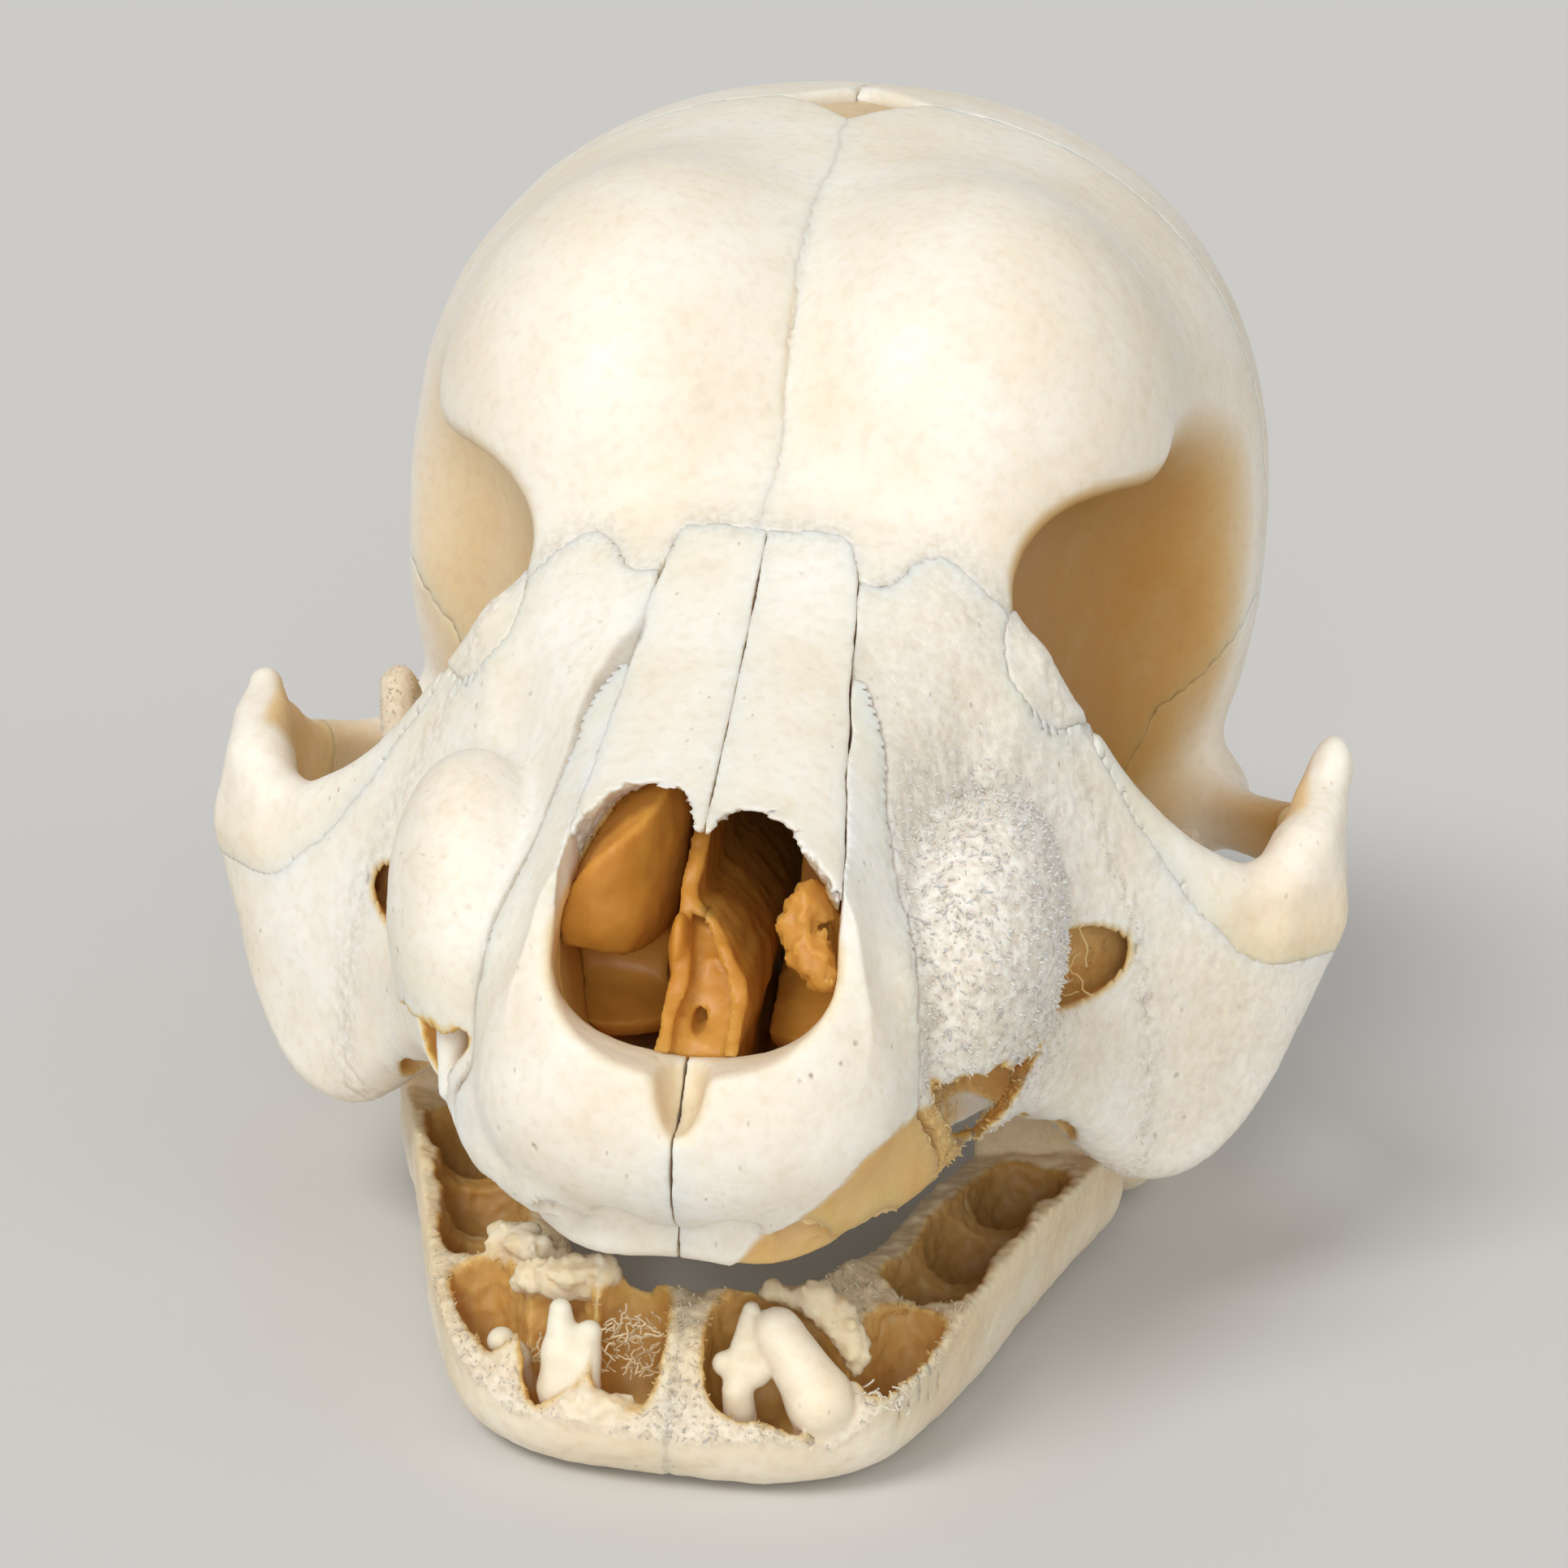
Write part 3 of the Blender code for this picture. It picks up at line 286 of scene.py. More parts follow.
    def noise(self, size, amount, seed=0):
        # A smooth wave up to amount each way, with bumps about size across
        point = self.vectors("ADD", self.point, (37.0 * seed, 0, 0))
        node = self.add("ShaderNodeTexNoise", ("Vector", point), ("Scale", 1 / size), ("Detail", 1))
        return (Field(self, node.outputs[0]) - 0.5) * (2 * amount)

    def dots(self, size, reach, seed=0):
        # Positive in round spots of that reach, about size apart
        point = self.vectors("ADD", self.point, (23.0 * seed, 0, 0))
        node = self.add("ShaderNodeTexVoronoi", ("Vector", point), ("Scale", 1 / size))
        return reach - Field(self, node.outputs["Distance"]) * size

    def level(self, value):
        # The same value everywhere
        return self.maths("ADD", value, 0.0)

    def limited(self, field, low, high):
        return self.maths("MINIMUM", self.maths("MAXIMUM", field, low), high)

    def above(self, field):
        return self.maths("MAXIMUM", field, 0)

    def step(self, field, reach):
        # 1 where the field is 0 or less, falling to 0 at reach
        return self.limited(1 - field / reach, 0, 1)

    def settle(self, geometry, field, limit=0.25):
        # Moves points along their normals onto the surface of the field
        move = self.limited(-field, -limit, limit) * mm
        normal = self.add("GeometryNodeInputNormal").outputs[0]
        node = self.add("GeometryNodeSetPosition", ("Geometry", geometry), ("Offset", self.scaled(normal, move)))
        return node.outputs[0]

    def largestPiece(self, geometry):
        # Drops the crumbs that a cut leaves
        island = self.add("GeometryNodeInputMeshIsland").outputs["Island Index"]
        total = self.add("GeometryNodeAccumulateField", (0, 1), (1, island)).outputs["Total"]
        most = self.add("GeometryNodeAttributeStatistic", ("Geometry", geometry), ("Attribute", total))
        crumb = self.maths("LESS_THAN", total, most.outputs["Max"])
        return self.add("GeometryNodeDeleteGeometry", ("Geometry", geometry), ("Selection", crumb)).outputs[0]

    def finish(self, field, looks, level):
        # looks: how far the fine relief stands out, and the amounts of amber, grain and pores. Amber is partly
        # painted glow and shade, and the pores amount also carries painted shade
        relief, *amounts = looks
        low, high, cell = (self.given[label] for label in ("Low corner", "High corner", "Cell size"))
        sides = self.split(self.vectors("SUBTRACT", high, low))
        cells = [self.maths("CEIL", side / Field(self, cell)) + 1 for side in sides]
        counts = [("Resolution " + axis, count) for axis, count in zip("XYZ", cells)]
        cube = self.add("GeometryNodeVolumeCube", ("Density", -field), ("Background", -1), ("Min", low),
                        ("Max", high), *counts)
        mesh = self.add("GeometryNodeVolumeToMesh", ("Volume", cube.outputs[0]), ("Threshold", 0)).outputs[0]
        mesh = self.settle(self.largestPiece(mesh), field)
        mesh = self.add("GeometryNodeSubdivideMesh", ("Mesh", mesh), ("Level", level)).outputs[0]
        mesh = self.settle(mesh, field)
        mesh = self.settle(mesh, -self.relief * relief)
        # The last attribute darkens the colour: pores and painted shade
        for name, amount in zip(("amber", "grain", "pore"), amounts):
            mesh = self.add("GeometryNodeStoreNamedAttribute", ("Geometry", mesh), ("Name", name),
                            ("Value", amount)).outputs[0]
        endTree(self.tree, mesh, self.given["Material"])


def smoothRow(row, steps):
    # Points on a Catmull-Rom curve through the row
    row = [Vector(point) for point in row]
    ends = [row[0] * 2 - row[1], *row, row[-1] * 2 - row[-2]]
    made = []
    for a, b, c, d in zip(ends, ends[1:], ends[2:], ends[3:]):
        for step in range(steps):
            t = step / steps
            curve = 2 * b + (c - a) * t + (2 * a - 5 * b + 4 * c - d) * t ** 2
            made.append((curve + (3 * b - a - 3 * c + d) * t ** 3) / 2)
    return [*made, row[-1]]


def guideObject(name, rows, steps=5):
    # A hidden mesh through rows of points, smooth both ways
    if name in bpy.data.objects:
        return bpy.data.objects[name]
    rows = [smoothRow(row, steps) for row in rows]
    rows = list(zip(*(smoothRow(column, steps) for column in zip(*rows))))
    width = len(rows[0])
    starts = [r * width + c for r in range(len(rows) - 1) for c in range(width - 1)]
    faces = [(start, start + 1, start + width + 1, start + width) for start in starts]
    mesh = bpy.data.meshes.new(name)
    mesh.from_pydata([point * mm for row in rows for point in row], [], faces)
    guide = bpy.data.objects.new(name, mesh)
    guide.hide_render = True
    guide.display_type = "WIRE"
    bpy.data.collections["guides"].objects.link(guide)
    return guide


# The forms of the whole skull

vaultSizes = {
    "halfWidth": 14.65,
    "halfLength": 18.6,
    "halfHeight": 14.4,
    "middleY": 37.0,
    "middleZ": 13.0,
    "wall": 1.2,
    "crownY": 33.4,  # where the frontal and parietal bones meet
    "backOfCrownY": 47.5,  # where the parietal bones meet the occiput
}
noseSizes = {"openingHalfWidth": 3.65, "plate": 0.5}
cheekSizes = {"halfWidth": 17.5}
jawSizes = {"floorZ": -8.0}


def vault(b, inset=0):
    # The egg of the braincase, or the space inside its wall
    centre = (0, vaultSizes["middleY"], vaultSizes["middleZ"])
    radii = [vaultSizes[name] - inset for name in ("halfWidth", "halfLength", "halfHeight")]
    return b.rounded(centre, radii, 2.3)


def brow(b, inset=0):
    # The two bulges of the forehead
    return b.ellipsoid((4.6, 23.6, 17.4), (6.5 - inset, 8.2 - inset, 8.1 - inset))


def head(b):
    # The braincase and forehead from outside
    return union(vault(b), brow(b), blend=5)


def muzzle(b):
    # The face in front of the orbits
    lower = b.loft(
        [
            (-1.5, 5.6, 0.0, 6.4),
            (3.0, 5.9, 0.0, 8.2),
            (5.0, 6.2, 0.2, 9.4),
            (8.0, 6.8, 0.6, 10.4),
            (12.0, 7.4, 0.8, 11.8),
            (16.0, 7.6, 0.8, 12.6),
            (20.0, 6.0, 0.4, 11.0),
        ],
        2.5,
    )
    roof = b.loft(
        [
            (2.7, 4.2, 5.0, 10.5),
            (5.0, 4.5, 5.0, 11.6),
            (8.0, 5.0, 5.0, 13.0),
            (11.0, 6.2, 5.0, 14.6),
            (14.2, 7.6, 5.0, 16.6),
            (18.0, 8.0, 5.0, 18.4),
        ],
        2.6,
    )
    front = b.rounded((0, 5.2, 3.4), (6.1, 5.3, 4.3), 2.4, (-14, 0, 0))
    lower = within(lower, union(front, 4.0 - b.y, blend=1.5), blend=0.5)
    return union(lower, roof, blend=2)


def canineBulge(b, inset=0):
    # The swelling of the upper jaw over the germ of the canine tooth
    return b.ellipsoid((6.8, 8.7, 5.8), (2.3 - inset, 3.5 - inset, 4.6 - inset), (-14, 6, -10))


def canineSocket(b):
    return b.ellipsoid((7.1, 8.1, 4.6), (1.6, 2.5, 3.2), (-14, 6, -10))


def brokenBulge(b):
    # Where the wall of the canine's socket is broken off
    edge = b.z - 3.8 - b.noise(0.9, 0.5, seed=4) - b.noise(0.3, 0.2, seed=62)
    return within(canineBulge(b, -0.6), edge, 6.3 - b.side)


def cheek(b):
    # The plate of the upper jaw below the orbit, and the bar that runs from it to the ear
    wide = cheekSizes["halfWidth"]
    rim = [(7.4, 15.0, 12.6), (9.0, 15.9, 10.4), (10.6, 16.8, 8.3), (12.4, 17.9, 6.6),
           (14.2, 19.0, 5.6), (15.6, 20.0, 5.7), (wide - 1.3, 20.9, 6.6)]
    middle = [(6.6, 12.4, 9.6), (8.2, 13.2, 7.2), (9.8, 14.6, 5.0), (11.6, 16.3, 3.4),
              (13.6, 18.0, 2.6), (15.3, 19.6, 2.9), (wide - 0.8, 21.2, 4.4)]
    edge = [(7.4, 12.2, 2.6), (8.6, 13.2, 1.4), (10.2, 15.0, 0.0), (11.8, 16.9, -1.9),
            (13.4, 18.2, -1.9), (14.9, 19.5, -0.2), (wide - 1.4, 20.9, 2.6)]
    plate = b.sheet("cheek_guide", [rim, middle, edge], 1.9)
    top = [(15.4, 19.7, 5.8), (16.3, 20.9, 6.8), (16.7, 22.6, 7.5), (wide - 0.9, 24.4, 7.0),
           (16.6, 27.6, 5.6), (15.4, 30.4, 4.9), (13.4, 32.6, 4.8)]
    foot = [(15.4, 19.5, 4.6), (16.6, 20.8, 4.6), (17.0, 22.4, 4.9), (wide - 0.8, 24.6, 4.9),
            (16.6, 27.6, 4.6), (15.4, 30.4, 4.3), (13.4, 32.6, 4.3)]
    bar = b.sheet("arch_guide", [top, foot], 1.5)
    spike = b.bar((16.3, 21.6, 6.4), (16.8, 23.6, 8.4), 0.9, 0.5)
    knob = b.ellipsoid((17.0, 24.0, 8.6), (0.6, 1.1, 0.9), both=False)
    return union(plate, bar, spike, knob, blend=0.9)


def gumRidge(b):
    # The lower edge of the upper jaw, which holds the tooth sockets
    top = [(3.2, 3.4, 1.6), (5.0, 4.8, 2.2), (6.4, 7.6, 2.8), (7.8, 11.0, 3.0), (9.4, 14.4, 2.4),
           (10.8, 17.2, 1.8), (11.4, 20.0, 2.2)]
    foot = [(3.2, 3.2, 0.9), (4.9, 4.8, 1.2), (6.2, 7.6, 1.9), (7.6, 11.0, 2.0), (9.2, 14.4, 1.1),
            (10.8, 17.0, -0.4), (11.3, 19.8, 0.4)]
    outer = b.sheet("gum_guide", [top, foot], 2.8)
    high = [(0, 3.2, 1.6), (2.2, 3.5, 1.6), (4.0, 5.0, 1.6), (4.9, 8.0, 1.8), (5.8, 11.5, 1.8),
            (7.0, 15.0, 1.4), (8.4, 18.6, 1.2)]
    low = [(0, 3.0, -0.7), (2.4, 3.4, -0.9), (4.2, 5.0, -0.4), (5.1, 8.0, 0.2), (6.2, 11.5, 0.4),
           (7.6, 15.0, 0.2), (9.0, 18.6, 0.2)]
    inner = b.sheet("palate_guide", [high, low], 0.9)
    return union(outer, inner, blend=0.5)


def upperSockets(b):
    # The open sockets in the lower edge of the upper jaw, from the front back
    sockets = [
        ((1.5, 1.9, 0.3), (0.75, 0.75, 1.7)),
        ((3.2, 2.6, 0.3), (0.75, 0.8, 1.8)),
        ((4.7, 4.2, 0.5), (0.8, 0.9, 1.8)),
        ((7.5, 11.1, 1.0), (0.95, 2.0, 2.3)),
        ((9.2, 14.6, 0.4), (1.0, 1.5, 2.4)),
        ((10.8, 17.6, -0.6), (1.1, 1.5, 2.4)),
    ]
    return union(*(b.ellipsoid(centre, radii, (0, 0, -24)) for centre, radii in sockets))


def noseHollow(b):
    # The nasal cavity, from the opening at the front to the one above the throat
    wide = noseSizes["openingHalfWidth"]
    return b.loft(
        [
            (-3.0, wide - 0.2, 4.9, 9.6),
            (1.5, wide, 4.9, 9.6),
            (4.0, wide + 0.2, 3.4, 10.3),
            (8.0, wide + 0.4, 2.0, 11.8),
            (13.0, wide + 0.8, 1.8, 13.6),
            (17.0, wide + 0.9, 1.9, 13.8),
            (20.0, wide, 0.6, 9.0),
            (22.5, wide - 0.5, -1.0, 5.5),
            (25.0, wide - 0.7, -4.0, 2.5),
        ],
        2.3,
    )


def orbit(b, outset=0):
    radii = (7.6 + outset, 7.9 + outset, 6.5 + outset)
    return b.rounded((15.0, 20.4, 10.8), radii, 4.6, (-5, 0, -20))


def orbitEdge(b):
    # How softly the orbit's edge is rounded: crisp in front, and fading into the temple behind
    return b.along(b.y, [(-5, 1.0), (15, 1.0), (19.5, 1.4), (24, 5.0), (30, 6.0), (60, 6.0)])


def temple(b, outset=0):
    # The hollow behind the orbit, where the jaw muscle runs inside the cheek bar
    return b.ellipsoid((15.4, 26.2, 4.4), (4.6 + outset, 7.4 + outset, 8.2 + outset), (0, 4, -16))


def brainHollow(b):
    # The space for the brain, open at the hole for the spinal cord
    inside = union(vault(b, vaultSizes["wall"]), brow(b, vaultSizes["wall"]), blend=4)
    floor = 2.4 - b.z
    front = b.plane((0, 21.6, 10), (0, -1, -0.2))
    inside = within(inside, floor, front, blend=1.5)
    inside = carve(inside, orbit(b, 1.6), blend=orbitEdge(b))
    inside = carve(inside, temple(b, 1.1), blend=1)
    cordHole = b.rod([(0, 50, 6.4), (0, 58, 4.8)], [3.9, 4.2])
    return union(inside, cordHole, blend=1)


def skullBase(b):
    # The bar under the brain, with the bumps of the ear and of the neck joint
    bar = b.loft(
        [
            (19, 2.6, -0.4, 5.0),
            (24, 2.6, -0.8, 5.0),
            (30, 3.2, -1.2, 5.0),
            (38, 3.9, -1.5, 5.0),
            (46, 5.4, -1.5, 5.0),
            (53, 4.8, -0.6, 4.4),
        ],
        2.1,
    )
    earBump = b.ellipsoid((8.4, 41.0, 0.6), (3.3, 4.6, 2.9), (0, 0, 14))
    neckJoint = b.ellipsoid((4.7, 53.7, 2.6), (1.9, 2.4, 3.2), (0, 12, 20))
    spur = b.bar((9.6, 48.6, 2.0), (9.2, 49.4, -1.4), 1.6, 0.8)
    jawSocket = b.ellipsoid((12.4, 32.6, 4.8), (2.7, 3.2, 2.0))
    return union(bar, earBump, neckJoint, spur, jawSocket, blend=1.6)


def wings(b):
    # The plates that flank the throat opening, each with a small hook
    top = [(3.9, 20.5, 2.4), (3.5, 24, 2.2), (3.4, 28, 1.6)]
    foot = [(3.9, 20.5, 0.2), (3.5, 24, -2.2), (3.7, 28, -2.6)]
    plate = b.sheet("wing_guide", [top, foot], 0.9)
    hook = b.bar((3.6, 27.6, -2.4), (4.0, 29.6, -3.2), 0.5, 0.4)
    return union(plate, hook, blend=0.6)


def earHollow(b):
    return b.ellipsoid((12.4, 39.9, 1.8), (3.6, 2.5, 2.5), (0, -14, -14))


def holes(b):
    # Small openings: below the orbit, beside the palate, and to the orbit from the brain
    belowOrbit = b.ellipsoid((10.0, 14.6, 4.7), (0.95, 5.0, 1.15), (0, 0, -24))
    palate = b.ellipsoid((1.8, 6.6, 1.5), (0.75, 1.9, 2.6))
    optic = b.bar((5.0, 25.4, 5.4), (11.0, 21.5, 6.4), 0.9, 0.9)
    return union(belowOrbit, palate, optic)


def groove(b):
    # The notch below the middle wall of the nose
    return b.ellipsoid((0.1, 0.5, 5.2), (0.62, 1.5, 1.9), both=False)


def fontanelle(b, inset=0):
    # The last gap at the crown, a small lozenge
    lozenge = b.side * 0.8 + abs(b.y - (vaultSizes["crownY"] + 0.3)) * 0.6 - 1.7 + inset
    return within(lozenge, 20 - b.z)


def skull(b, *parts):
    # The bone of the upper skull. A bone names only the parts that reach it, to save time.
    body = head(b)
    if "muzzle" in parts:
        body = union(body, muzzle(b), blend=2.4)
    if "base" in parts:
        body = union(body, skullBase(b), blend=2)
    if "orbit" in parts:
        body = carve(body, orbit(b), blend=orbitEdge(b))
        body = carve(body, temple(b), blend=2)
    if "cheek" in parts:
        body = union(body, cheek(b), blend=2)
    if "gums" in parts:
        body = union(body, gumRidge(b), blend=1)
    if "bulge" in parts:
        body = union(body, canineBulge(b, -0.3), blend=0.6)
    if "wings" in parts:
        body = union(body, wings(b), blend=0.6)
    if "nose" in parts:
        body = carve(body, noseHollow(b), blend=0.4)
    if "brain" in parts:
        body = carve(body, brainHollow(b), fontanelle(b), blend=0.4)
    if "bulge" in parts:
        body = carve(body, canineSocket(b), brokenBulge(b))
    if "gums" in parts:
        body = carve(body, upperSockets(b), blend=0.25)
    if "holes" in parts:
        body = carve(body, holes(b), blend=0.25)
        body = carve(body, groove(b), blend=0.7)
    if "ear" in parts:
        body = carve(body, earHollow(b), blend=0.25)
    return body


# Where one bone ends and the next begins. Each field is negative in the bone that it names.


def wave(b, seed=0):
    # The unevenness of a suture
    return b.noise(1.5, 0.45, seed)


def behindCrown(b):
    # Negative behind the suture between the frontal and the parietal bones
    return b.side * 0.05 + vaultSizes["crownY"] - b.y + wave(b, 1)


def occiput(b):
    # Negative behind the suture that runs from the back of the crown down to the ear
    back = vaultSizes["backOfCrownY"]
    line = b.along(b.side, [(0, back), (4, back), (8, 46.6), (11, 45.4), (15, 44.4)])
    return (line - b.y) * 0.95 + wave(b, 2)


def face(b):
    # Negative in front of the forehead, which reaches forward beside the nasal bones
    line = b.along(b.side, [(0, 14.3), (2.2, 14.2), (3.2, 12.6), (4.2, 13.8), (5.6, 14.6),
                            (7.2, 14.5), (9.0, 13.6), (14.0, 13.2)])
    return (b.y - line + (b.z - 16.6) * 0.14) * 0.9 + wave(b, 3) * 0.6


def base(b):
    # Negative in the strip of bones under the brain
    wide = b.along(b.y, [(18, 3.0), (30, 3.6), (38, 4.3), (42, 4.6), (48, 6.2), (57, 7.0)])
    return within(b.side - wide, b.z - 3.6, blend=1) + wave(b, 4) * 0.5


def earBone(b):
    return b.ellipsoid((14.0, 36.9, 3.2), (9.0, 9.0, 9.2)) + wave(b, 5)


def wingBone(b):
    # Negative in the wing of the sphenoid, low in the temple
    return b.ellipsoid((7.2, 27.0, 3.0), (5.6, 4.0, 4.6)) + wave(b, 6) * 0.5


def nasalStrip(b):
    half = b.along(b.y, [(2.0, 3.75), (3.5, 3.65), (8.0, 3.2), (14.2, 2.7), (16.0, 2.6)])
    return within(b.side - half + wave(b, 7) * 0.25, 7.4 - b.z)


def incisorBone(b):
    # Negative in front of the suture between the premaxilla and the upper jaw
    line = b.along(b.z, [(-2, 5.6), (1, 5.4), (3.2, 4.2), (5.2, 4.1), (7.5, 5.0), (9.6, 6.2),
                         (12.5, 9.0), (15.0, 11.6)])
    return (b.y - line) * 0.85 + wave(b, 8) * 0.3


def palateBone(b):
    # Negative in the back of the palate and low in the inner wall of the orbit
    front = 15.6 - b.y + b.side * 0.2
    return within(b.side - 8.4, b.z - 7.0, front, b.y - 22.8, blend=1) + wave(b, 9) * 0.4


def tearBone(b):
    # Negative in the small bone at the front of the orbit
    return b.ellipsoid((8.1, 15.8, 12.6), (1.3, 2.6, 2.6), (0, 0, -20))


def cheekSide(b):
    # Negative in the cheek plate and bar, which stand free of the braincase
    return within(b.plane((9.4, 20.0, 8.0), (-1, 0.62, 0.1)), b.z - 13.4)


def cheekBone(b):
    # Negative above and behind the suture across the cheek plate
    line = b.along(b.side, [(10.5, 9.5), (12.2, 6.9), (13.8, 5.0), (15.2, 3.9), (16.6, 3.7),
                            (19.0, 3.9)])
    behind = b.plane((0, 23.0, 3), (0, -1, 0.4))
    return within(union((line - b.z) * 0.8 + wave(b, 10) * 0.4, behind), cheekSide(b))


def bone(field, *limits):
    # The part of the field inside the limits, drawn back by half a suture that opens and closes
    b = field.builder
    opening = (b.suture + b.noise(0.9, 0.07, seed=60) + b.noise(0.3, 0.03, seed=61)) / 2
    return within(field, *(limit + opening for limit in limits))


def closed(b):
    # How far a nasal bone reaches into its neighbours on the right, where only a crack still shows
    crack = b.along(b.y, [(0, 0.1), (11.5, 0.1), (12.6, -0.06), (14.4, -0.08), (15.4, 0.1)])
    return crack * b.bySide(1, 0.1, 0.4, 8)


def half(b, side):
    return b.x * -side


def crownLine(b):
    # The two halves of the forehead and crown meet along a line that wanders
    return b.x + b.noise(5.0, 0.5, seed=51) + b.noise(1.1, 0.14, seed=52) + 0.1


# The bones. Side is 1 for the skull's left, and -1 for its right.


def frontal(b, side):
    faceBones = (-face(b), -tearBone(b), -palateBone(b), -cheekSide(b))
    others = (-behindCrown(b), -base(b), -earBone(b), -wingBone(b))
    body = skull(b, "muzzle", "base", "orbit", "nose", "brain")
    return bone(body, crownLine(b) * -side, *faceBones, *others)


def parietal(b, side):
    others = (-occiput(b), -base(b), -earBone(b), -wingBone(b))
    return bone(skull(b, "orbit", "brain"), crownLine(b) * -side, behindCrown(b), *others)


def temporal(b, side):
    body = skull(b, "base", "orbit", "cheek", "brain", "ear")
    return bone(body, half(b, side), earBone(b), -occiput(b), -base(b), -wingBone(b))


def occipitalScale(b, side):
    return bone(skull(b, "brain"), occiput(b), 10.5 - b.z + wave(b, 11))


def occipitalSide(b, side):
    body = skull(b, "base", "brain")
    return bone(body, half(b, side), occiput(b), b.z - 10.5 - wave(b, 11), -base(b))


def occipitalBase(b, side):
    return bone(skull(b, "base", "brain"), base(b), 41.6 - b.y)


def sphenoid(b, side):
    middle = within(base(b), b.y - 41.6)
    body = skull(b, "base", "orbit", "wings", "nose", "brain")
    return bone(body, union(middle, wingBone(b)), -palateBone(b), 18.0 - b.y)


def palatine(b, side):
    body = skull(b, "muzzle", "base", "orbit", "cheek", "gums", "wings", "nose", "holes")
    return bone(body, half(b, side), palateBone(b))


def nasal(b, side):
    # The front edge is ragged, with a notch at the middle and steps at the sides
    edge = b.along(b.x, [(-3.7, 3.7), (-3.1, 4.3), (-2.0, 4.7), (-0.8, 4.4), (-0.35, 3.3), (0.0, 2.9),
                         (0.4, 3.6), (1.25, 3.9), (2.1, 3.7), (2.6, 3.0), (3.7, 2.7)])
    slant = b.above(-muzzle(b)) * 1.6
    tip = edge + slant - b.y + b.noise(0.9, 0.25, seed=16) + b.noise(0.3, 0.22, seed=41)
    return bone(skull(b, "muzzle", "nose"), half(b, side), face(b), nasalStrip(b) - closed(b), tip)


def premaxilla(b, side):
    body = skull(b, "muzzle", "gums", "nose", "holes")
    return bone(body, half(b, side), -nasalStrip(b), incisorBone(b) + 0.04)


def upperCanine(b):
    # The tip of the one tooth that shows in the upper jaw
    return b.bar((-7.3, 8.0, 6.6), (-7.0, 6.3, 1.7), 0.8, 0.34, both=False)


def maxilla(b, side):
    web = b.ellipsoid((10.4, 16.0, 4.7), (1.9, 0.5, 1.9), (0, 0, 43))  # closes the hole below the orbit
    body = skull(b, "muzzle", "orbit", "cheek", "gums", "bulge", "nose", "holes")
    body = union(body, upperCanine(b), web)
    others = (-nasalStrip(b), 0.02 - incisorBone(b), -tearBone(b), -palateBone(b), -cheekBone(b))
    return bone(body, half(b, side), union(face(b), cheekSide(b)), *others)


def lacrimal(b, side):
    return bone(skull(b, "muzzle", "orbit", "cheek", "nose"), half(b, side), tearBone(b))


def zygomatic(b, side):
    return bone(skull(b, "orbit", "cheek", "holes"), half(b, side), cheekBone(b), -earBone(b), -tearBone(b))


def fontanelleSkin(b, side):
    # The dried skin in the gap at the crown
    shell = abs(head(b) + 0.7) - noseSizes["plate"] / 2
    return within(shell, fontanelle(b, b.suture * 1.4))


def vomer(b, side):
    # The wall between the two sides of the nose: two thin leaves that join above a trough
    edge = b.along(b.z, [(3, 0.9), (4.6, 1.6), (5.5, 2.8), (6.4, 3.8), (7.4, 4.8), (8.6, 6.0),
                         (10, 7.4), (12, 8.5)])
    edge = edge + b.noise(0.8, 0.35, seed=13)
    uneven = b.noise(1.8, 0.16, seed=12)
    right = b.along(b.z, [(3, -0.55), (4.5, -0.62), (5.4, -0.66), (6.4, -0.5), (7.2, -0.6), (9, -0.6),
                          (12, -0.3)])
    left = b.along(b.z, [(3, 0.9), (4.5, 1.05), (5.4, 1.2), (6.0, 1.15), (6.8, 0.75), (7.6, 0.1),
                         (8.4, -0.5), (12, -0.3)])
    thick = b.along(b.z, [(3, 0.28), (5, 0.17), (6.4, 0.24), (8, 0.16), (12, 0.16)])
    leaves = [within(abs(b.x - middle + uneven) - thick, edge - b.y) for middle in (right, left)]
    web = within(right - b.x, b.x - left, edge + 0.9 + b.noise(0.7, 0.35, seed=47) - b.y)
    tongue = b.ellipsoid((-0.66, 4.7, 6.95), (0.28, 0.75, 1.0), (20, 0, 0), both=False)
    wall = union(*leaves, web, tongue, blend=0.3)
    paintedShade = b.ellipsoid((0.1, 3.6, 5.3), (0.2, 1.2, 0.3), both=False)
    return within(carve(wall, paintedShade, blend=0.1), noseHollow(b) + b.suture, b.y - 19)


